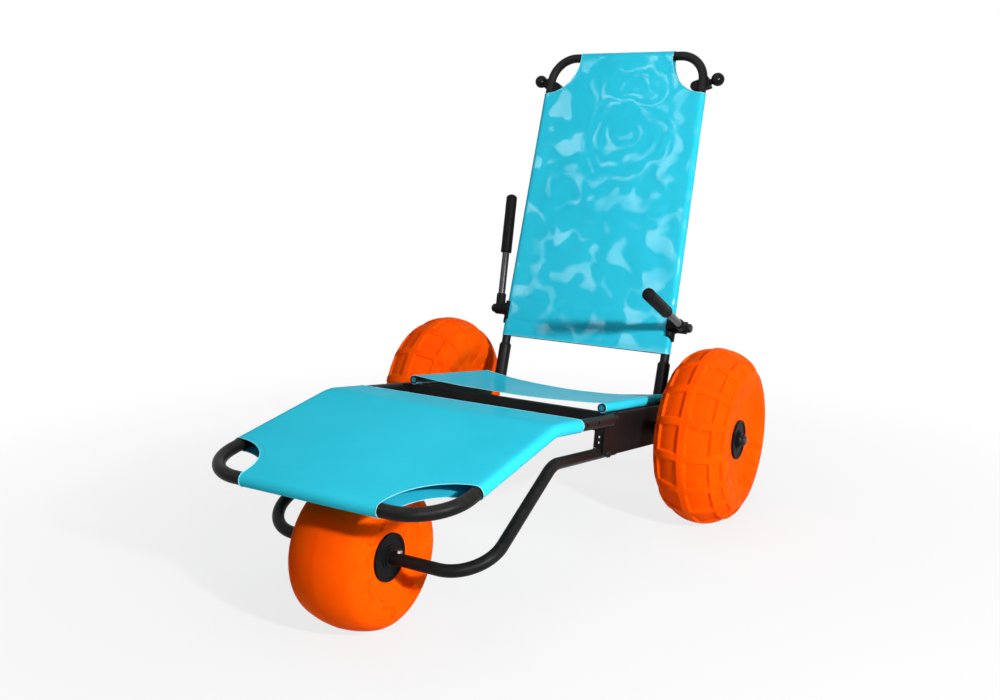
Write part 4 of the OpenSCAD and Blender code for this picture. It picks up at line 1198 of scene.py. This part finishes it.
@dataclass
class MouldedWheel:
    """A hollow moulded wheel as one closed skin round its bore."""

    body: str
    centre: Point
    wheel_r: float
    half_w: float
    crown_r: float
    shoulder_r: float
    hub_x: float
    side_end: float
    side: float = 1.0
    hub_r: float = 0.052
    bore_r: float = 0.0225
    rows: int = 141
    columns: int = 240
    hub_rows: int = 9

    @property
    def lean(self) -> float:
        """Angle at which the tread's arc goes over into the shoulder's."""
        return math.asin((self.half_w - self.shoulder_r) / (self.crown_r - self.shoulder_r))

    def arc_r(self, turn: Array) -> Array:
        """Radius of the arc that the surface follows."""
        return np.where(np.abs(turn) <= self.lean, self.crown_r, self.shoulder_r)

    def outline(self, turn: Array) -> tuple[Array, Array]:
        """Radius and distance from the middle plane of the wheel's surface.

        Args:
            turn: Angle of the surface from the middle of the tread, in radians.

        Returns:
            The radii and the distances.
        """
        crown = np.abs(turn) <= self.lean
        arc = self.arc_r(turn)
        drop = (self.crown_r - self.shoulder_r) * math.cos(self.lean)
        mid_r = self.wheel_r - self.crown_r + np.where(crown, 0.0, drop)
        mid_x = np.where(crown, 0.0, np.sign(turn) * (self.half_w - self.shoulder_r))
        return mid_r + arc * np.cos(turn), mid_x + arc * np.sin(turn)

    def turns(self) -> Array:
        """Angles of the rows from side to side."""
        return np.radians(np.linspace(-self.side_end, self.side_end, self.rows))

    def angles(self) -> Array:
        """Angles of the columns round the axle."""
        return np.linspace(0.0, 2 * math.pi, self.columns, endpoint=False)

    def depth(self, turn: Array, angle: Array) -> Array:
        """How far the skin lies inside the plain outline."""
        raise NotImplementedError

    def build(self, wardrobe: Wardrobe) -> Piece:
        """Builds the wheel's skin.

        Args:
            wardrobe: Where the material comes from.

        Returns:
            The wheel.
        """
        turn, angle = self.turns(), self.angles()
        radius, across = self.outline(turn)
        depth = self.depth(turn[:, None], angle[None, :])
        rings_r = radius[:, None] - depth * np.cos(turn)[:, None]
        rings_x = across[:, None] - depth * np.sin(turn)[:, None]
        bend = np.linspace(0.0, 1.0, self.hub_rows)[1:, None]
        tail = []
        for end, sign in ((-1, 1.0), (0, -1.0)):
            start_r, start_x = rings_r[end], rings_x[end]
            leg_r = start_r + (self.hub_r - start_r) * bend
            leg_x = start_x + (sign * self.hub_x - start_x) * smooth_step(bend, -0.6, 1.0)
            tail.append((leg_r, leg_x))
        bore = np.full((1, len(angle)), self.bore_r)
        face = np.full((1, len(angle)), self.hub_x)
        all_r = np.concatenate([bore, tail[1][0][::-1], rings_r, tail[0][0], bore])
        all_x = np.concatenate([-face, tail[1][1][::-1], rings_x, tail[0][1], face])
        x = self.centre[0] + self.side * all_x
        y = self.centre[1] + all_r * np.sin(angle)[None, :]
        z = self.centre[2] - all_r * np.cos(angle)[None, :]
        points = np.stack([x, y, z], -1).reshape(-1, 3)
        faces = ring_faces(len(all_r), len(angle), True)
        if self.side < 0:
            faces = [f[::-1] for f in faces]
        made = make_object(f"{self.body}_skin", points, faces, wardrobe.get("wheel_orange"))
        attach(made, self.body)
        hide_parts(self.body)
        return made


@dataclass
class RearWheel(MouldedWheel):
    """A rear wheel with a grid of tread pockets, shoulder lugs and creased sides."""

    ribs: int = 16
    rib_w: float = 0.019
    rib_edge: tuple[float, float] = (-0.0008, 0.0042)
    pocket: float = 0.006
    bands: tuple[tuple[float, float], ...] = ((5.4, 37.0), (42.0, 70.0))
    band_edge: tuple[float, float] = (-0.0006, 0.0040)
    side_from: tuple[float, float] = (math.radians(76), math.radians(96))
    crease: float = 0.0055
    inset: float = 0.0003
    plain_rows: int = 46
    least_gap: float = 0.25

    def turns(self) -> Array:
        """Rows gathered at the edges of the ribs."""
        rows = set(np.linspace(0.0, self.side_end, self.plain_rows).round(3))
        for low, high in self.bands:
            for step in (-0.5, 0.0, 0.6, 1.2, 1.9, 2.7):
                rows |= {round(low + step, 3), round(high - step, 3)}
        half = np.array(sorted(rows))
        half = half[np.r_[True, np.diff(half) > self.least_gap]]
        return np.radians(np.r_[-half[:0:-1], half])

    def angles(self) -> Array:
        """Columns gathered at the edges of the cross ribs."""
        edge = math.degrees(self.rib_w / 2 / self.wheel_r)
        offsets = [0.0, 0.55 * edge, *(edge + o for o in (-0.4, 0.0, 0.4, 0.8, 1.2, 1.9)), 6.2, 8.4, 10.2]
        cell = 360.0 / self.ribs
        steps = sorted([*offsets, *[cell - o for o in offsets[1:]], cell / 2])
        return np.radians(np.array([i * cell + s for i in range(self.ribs) for s in steps]))

    def depth(self, turn: Array, angle: Array) -> Array:
        """Pockets between the ribs, and creases down the sides."""
        cell = 2 * math.pi / self.ribs
        near = np.abs((angle + cell / 2) % cell - cell / 2)
        radius, _ = self.outline(turn)
        beside = near * radius - self.rib_w / 2 * np.minimum(radius / self.wheel_r, 1.0)
        across = smooth_step(beside, *self.rib_edge)
        total = np.zeros(np.broadcast(turn, angle).shape)
        flat, arc = np.abs(turn), self.arc_r(turn)
        for low, high in self.bands:
            from_low = smooth_step((flat - math.radians(low)) * arc, *self.band_edge)
            from_high = smooth_step((math.radians(high) - flat) * arc, *self.band_edge)
            inside = from_low * from_high
            total = np.maximum(total, self.pocket * inside * across)
        crease = bell(near * radius, self.crease) * self.crease * smooth_step(flat, *self.side_from)
        return total + crease + self.inset


@dataclass
class FrontWheel(MouldedWheel):
    """The smooth front wheel with scooped sides."""

    pockets: int = 8
    pocket: float = 0.0085
    open_share: float = 0.62
    pocket_edge: tuple[float, float] = (-0.001, 0.005)
    scoop_from: tuple[float, float] = (math.radians(62), math.radians(71))
    scoop_to: tuple[float, float] = (math.radians(104), math.radians(115))
    parting_h: float = 0.0005
    parting_w: float = 0.0016

    def depth(self, turn: Array, angle: Array) -> Array:
        """Soft scoops round each side and a faint parting ring."""
        cell = 2 * math.pi / self.pockets
        near = np.abs(angle % cell - cell / 2)
        radius, _ = self.outline(turn)
        inside = smooth_step((self.open_share * cell / 2 - near) * radius, *self.pocket_edge)
        flat = np.abs(turn)
        ring = smooth_step(flat, *self.scoop_from) * (1 - smooth_step(flat, *self.scoop_to))
        parting = -self.parting_h * bell(turn * self.crown_r, self.parting_w)
        return self.pocket * inside * ring + parting + self.parting_h


def wheels() -> list[MouldedWheel]:
    """The chair's three wheels."""
    found: list[MouldedWheel] = [
        RearWheel(
            f"rear_wheel_{name}", (side * 0.418, LAYOUT.axle_y, LAYOUT.rear_r), wheel_r=LAYOUT.rear_r,
            half_w=0.095, crown_r=0.115, shoulder_r=0.068, hub_x=0.071, side_end=125.0, side=side,
        )
        for name, side in SIDES.items()
    ]
    front_r = 0.163
    found.append(FrontWheel(
        "front_wheel", (0.0, -0.566525, front_r), wheel_r=front_r,
        half_w=0.093, crown_r=0.190, shoulder_r=0.042, hub_x=0.065, side_end=120.0,
    ))
    return found


# ---- Arm grips ----


@dataclass
class FoamGrip:
    """A foam sleeve with a rounded cap at its free end, turned on the armrest's tube."""

    side: str
    bulge: float = 0.0006
    sides: int = 40
    fill: float = 0.95

    def build(self, frame: dict, wardrobe: Wardrobe) -> Piece:
        """Builds the grip round the axis of the solid that it stands in for.

        Args:
            wardrobe: Where the material comes from.

        Returns:
            The grip.
        """
        node, tube = (frame["nodes"][f"arm_{kind}_{self.side}"] for kind in ("grip", "tube"))
        cloud, inner = (np.array([o.matrix_world @ v.co for v in o.data.vertices]) for o in (node, tube))
        box_mid = 0.5 * (cloud.max(0) + cloud.min(0))
        way = np.linalg.svd(inner - inner.mean(0), full_matrices=False)[2][0]
        way *= np.sign((box_mid - inner.mean(0)) @ way)
        reach = (cloud - box_mid) @ way
        axis_mid = 0.5 * (inner.max(0) + inner.min(0))
        start = axis_mid + way * ((box_mid - axis_mid) @ way + reach.min())
        away = cloud - start - np.outer((cloud - start) @ way, way)
        radius = float(np.linalg.norm(away, axis=1).max())
        aside = unit(np.cross(way, (0.0, 0.0, 1.0) if abs(way[2]) < 0.9 else (1.0, 0.0, 0.0)))
        over = np.cross(way, aside)
        rings = self.profile(float(np.ptp(reach)), radius)
        points = []
        for along, r in rings:
            for t in np.arange(self.sides) * 2 * math.pi / self.sides:
                points.append(start + way * along + r * (aside * math.cos(t) + over * math.sin(t)))
        faces = ring_faces(len(rings), self.sides)
        last = (len(rings) - 1) * self.sides
        faces += [tuple(range(self.sides - 1, -1, -1)), tuple(last + j for j in range(self.sides))]
        made = make_object(f"arm_grip_{self.side}_foam", np.array(points), faces, wardrobe.get("grip_foam"))
        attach(made, f"armrest_{self.side}")
        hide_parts(node.name)
        return made

    def profile(self, long: float, radius: float) -> list[tuple[float, float]]:
        """Distance along the axis and radius of each ring, from the inner end to the cap."""
        rings = [(0.0006, 0.80 * radius), (0.0, 0.88 * radius), (0.0008, 0.96 * radius), (0.0030, radius)]
        shift = 0.3 if self.side == "left" else 4.1
        for along in np.linspace(0.006, long - radius * 0.75, 26):
            soft = 0.5 * noise.noise(Vector((along / long * 9.0, 1.7, shift)))
            rings.append((float(along), radius - self.bulge * (0.5 + soft)))
        for t in np.linspace(0.12, 1.0, 12):
            bend = t * math.pi / 2
            rings.append((long - radius * 0.72 * (1 - math.sin(bend)), max(radius * math.cos(bend), 0.0008)))
        return rings


# ---- Studio ----


@dataclass(frozen=True)
class Lamp:
    """A square lamp; one for gloss only is seen in reflections and lights nothing else."""

    name: str
    at: Point
    to: Point
    size: float
    power: float
    gloss_only: bool = False

    def build(self) -> None:
        """Makes the lamp."""
        data = bpy.data.lights.new(self.name, "AREA")
        data.shape, data.size, data.energy = "SQUARE", self.size, self.power
        made = bpy.data.objects.new(self.name, data)
        bpy.context.scene.collection.objects.link(made)
        made.location = self.at
        made.rotation_mode = "QUATERNION"
        made.rotation_quaternion = (Vector(self.to) - Vector(self.at)).to_track_quat("-Z", "Y")
        made.visible_diffuse = not self.gloss_only


LAMPS: tuple[Lamp, ...] = (
    Lamp("key_lamp", (2.95, -1.55, 1.70), (0.0, 0.3, 0.5), 0.20, 160.0),
    Lamp("top_lamp", (0.2, -0.6, 3.4), (0.0, 0.0, 0.4), 1.8, 27.0),
    Lamp("gloss_lamp", (-1.31, -1.85, 2.39), (0.0, 0.6, 0.85), 1.7, 31.0, gloss_only=True),
    Lamp("spark_lamp", (1.62, -2.80, 1.55), (0.0, 0.3, 0.6), 1.3, 85.0, gloss_only=True),
    Lamp("rim_lamp", (0.6, 2.8, 2.8), (0.0, 0.2, 0.6), 1.6, 10.0),
)
WHITE: Colour = (1.0, 1.0, 1.0)


@dataclass
class Studio:
    """Pale floor, studio lamps and the camera."""

    camera_at: Point = (1.2874, -2.2300, 1.0433)
    azimuth: float = math.radians(30.14)
    pitch: float = math.radians(90 - 12.33)
    roll: float = math.radians(0.33)
    lens: float = 38.43
    shift: tuple[float, float] = (0.0023, 0.0023)
    floor_half: float = 12.0
    floor_front: float = -9.0
    floor_bend: float = 2.6
    bend_r: float = 2.4
    wall_top: float = 9.0
    floor_gap: float = 0.0006
    fill_light: float = 0.14

    def camera(self) -> None:
        """Makes the camera at the photograph's place and angle."""
        data = bpy.data.cameras.new("camera")
        data.lens, data.sensor_width = self.lens, 36.0
        data.shift_x, data.shift_y = self.shift
        data.clip_end = 60.0
        made = bpy.data.objects.new("camera", data)
        bpy.context.scene.collection.objects.link(made)
        turn = Matrix.Rotation(self.azimuth, 4, "Z") @ Matrix.Rotation(self.pitch, 4, "X")
        made.matrix_world = Matrix.Translation(self.camera_at) @ turn @ Matrix.Rotation(self.roll, 4, "Z")
        bpy.context.scene.camera = made

    def floor(self) -> None:
        """Makes a wide pale floor that rises softly into a backdrop."""
        rows = [(self.floor_front, 0.0), (self.floor_bend, 0.0)]
        for t in np.linspace(0.1, math.pi / 2, 14):
            rows.append((self.floor_bend + self.bend_r * math.sin(t), self.bend_r * (1 - math.cos(t))))
        rows.append((self.floor_bend + self.bend_r, self.wall_top))
        points, faces = [], []
        c, s = math.cos(self.azimuth), math.sin(self.azimuth)
        for depth, height in rows:
            for wide in (-self.floor_half, self.floor_half):
                points.append((wide * c - depth * s, wide * s + depth * c, height - self.floor_gap))
        for i in range(len(rows) - 1):
            faces.append((2 * i, 2 * i + 1, 2 * i + 3, 2 * i + 2))
        make_object("studio_floor", np.array(points), faces, self._floor_finish())

    @staticmethod
    def _floor_finish() -> bpy.types.Material:
        """Pale matt paper with a barely visible tooth, whiter away from the chair where it is seen."""
        made = bpy.data.materials.new("studio_paper")
        b = NodeBuilder.fresh(made)
        place = b.add("ShaderNodeTexCoord").outputs["Object"]
        tone = b.mix(b.noise(place, 3.0), rgba((0.60,) * 3), rgba((0.63,) * 3))
        values = {"Base Color": tone, "Roughness": 0.9, "Specular IOR Level": 0.1}
        paper = b.add("ShaderNodeBsdfPrincipled", values).outputs[0]
        white = b.add("ShaderNodeEmission", {"Color": rgba(WHITE), "Strength": 1.0}).outputs[0]
        share = b.product(Studio.seen(b), b.span(b.vector("LENGTH", place), 0.7, 2.0, 0.80, 1.0))
        both = b.add("ShaderNodeMixShader", {0: share, 1: paper, 2: white}).outputs[0]
        b.add("ShaderNodeOutputMaterial", {"Surface": both})
        return made

    @staticmethod
    def seen(b: NodeBuilder) -> Socket:
        """Whether a ray comes from the camera, a reflection or a clear piece."""
        path = b.add("ShaderNodeLightPath").outputs
        clear = b.math("MAXIMUM", path["Is Camera Ray"], path["Is Transmission Ray"])
        return b.math("MAXIMUM", clear, path["Is Glossy Ray"])

    def world(self) -> None:
        """Fills the room with even light; the camera and reflections see white."""
        world = bpy.data.worlds.new("room")
        bpy.context.scene.world = world
        b = NodeBuilder.fresh(world)
        strength = b.span(self.seen(b), 0.0, 1.0, self.fill_light, 1.0)
        back = b.add("ShaderNodeBackground", {"Color": rgba(WHITE), "Strength": strength})
        b.add("ShaderNodeOutputWorld", {"Surface": back.outputs[0]})

    def build(self) -> None:
        """Sets up the whole studio."""
        bpy.context.scene.view_settings.view_transform = "Standard"
        self.camera()
        self.floor()
        self.world()
        for lamp in LAMPS:
            lamp.build()


def main() -> None:
    """Builds the chair's pieces in order."""
    logging.basicConfig(level=logging.INFO, format="%(name)s: %(message)s")
    noise.seed_set(NOISE_SEED)
    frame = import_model()
    Studio().build()
    wardrobe = Wardrobe()
    wardrobe.dress_nodes(frame)
    pieces = [wheel.build(wardrobe) for wheel in wheels()]
    pieces += [FoamGrip(side).build(frame, wardrobe) for side in SIDES]
    for sling in (back_sling(), leg_sling(), SeatSling()):
        pieces += sling.build(wardrobe)
    for made in pieces:
        log.info("%s: %d faces", made.name, len(made.data.polygons))


if __name__ == "__main__":
    main()
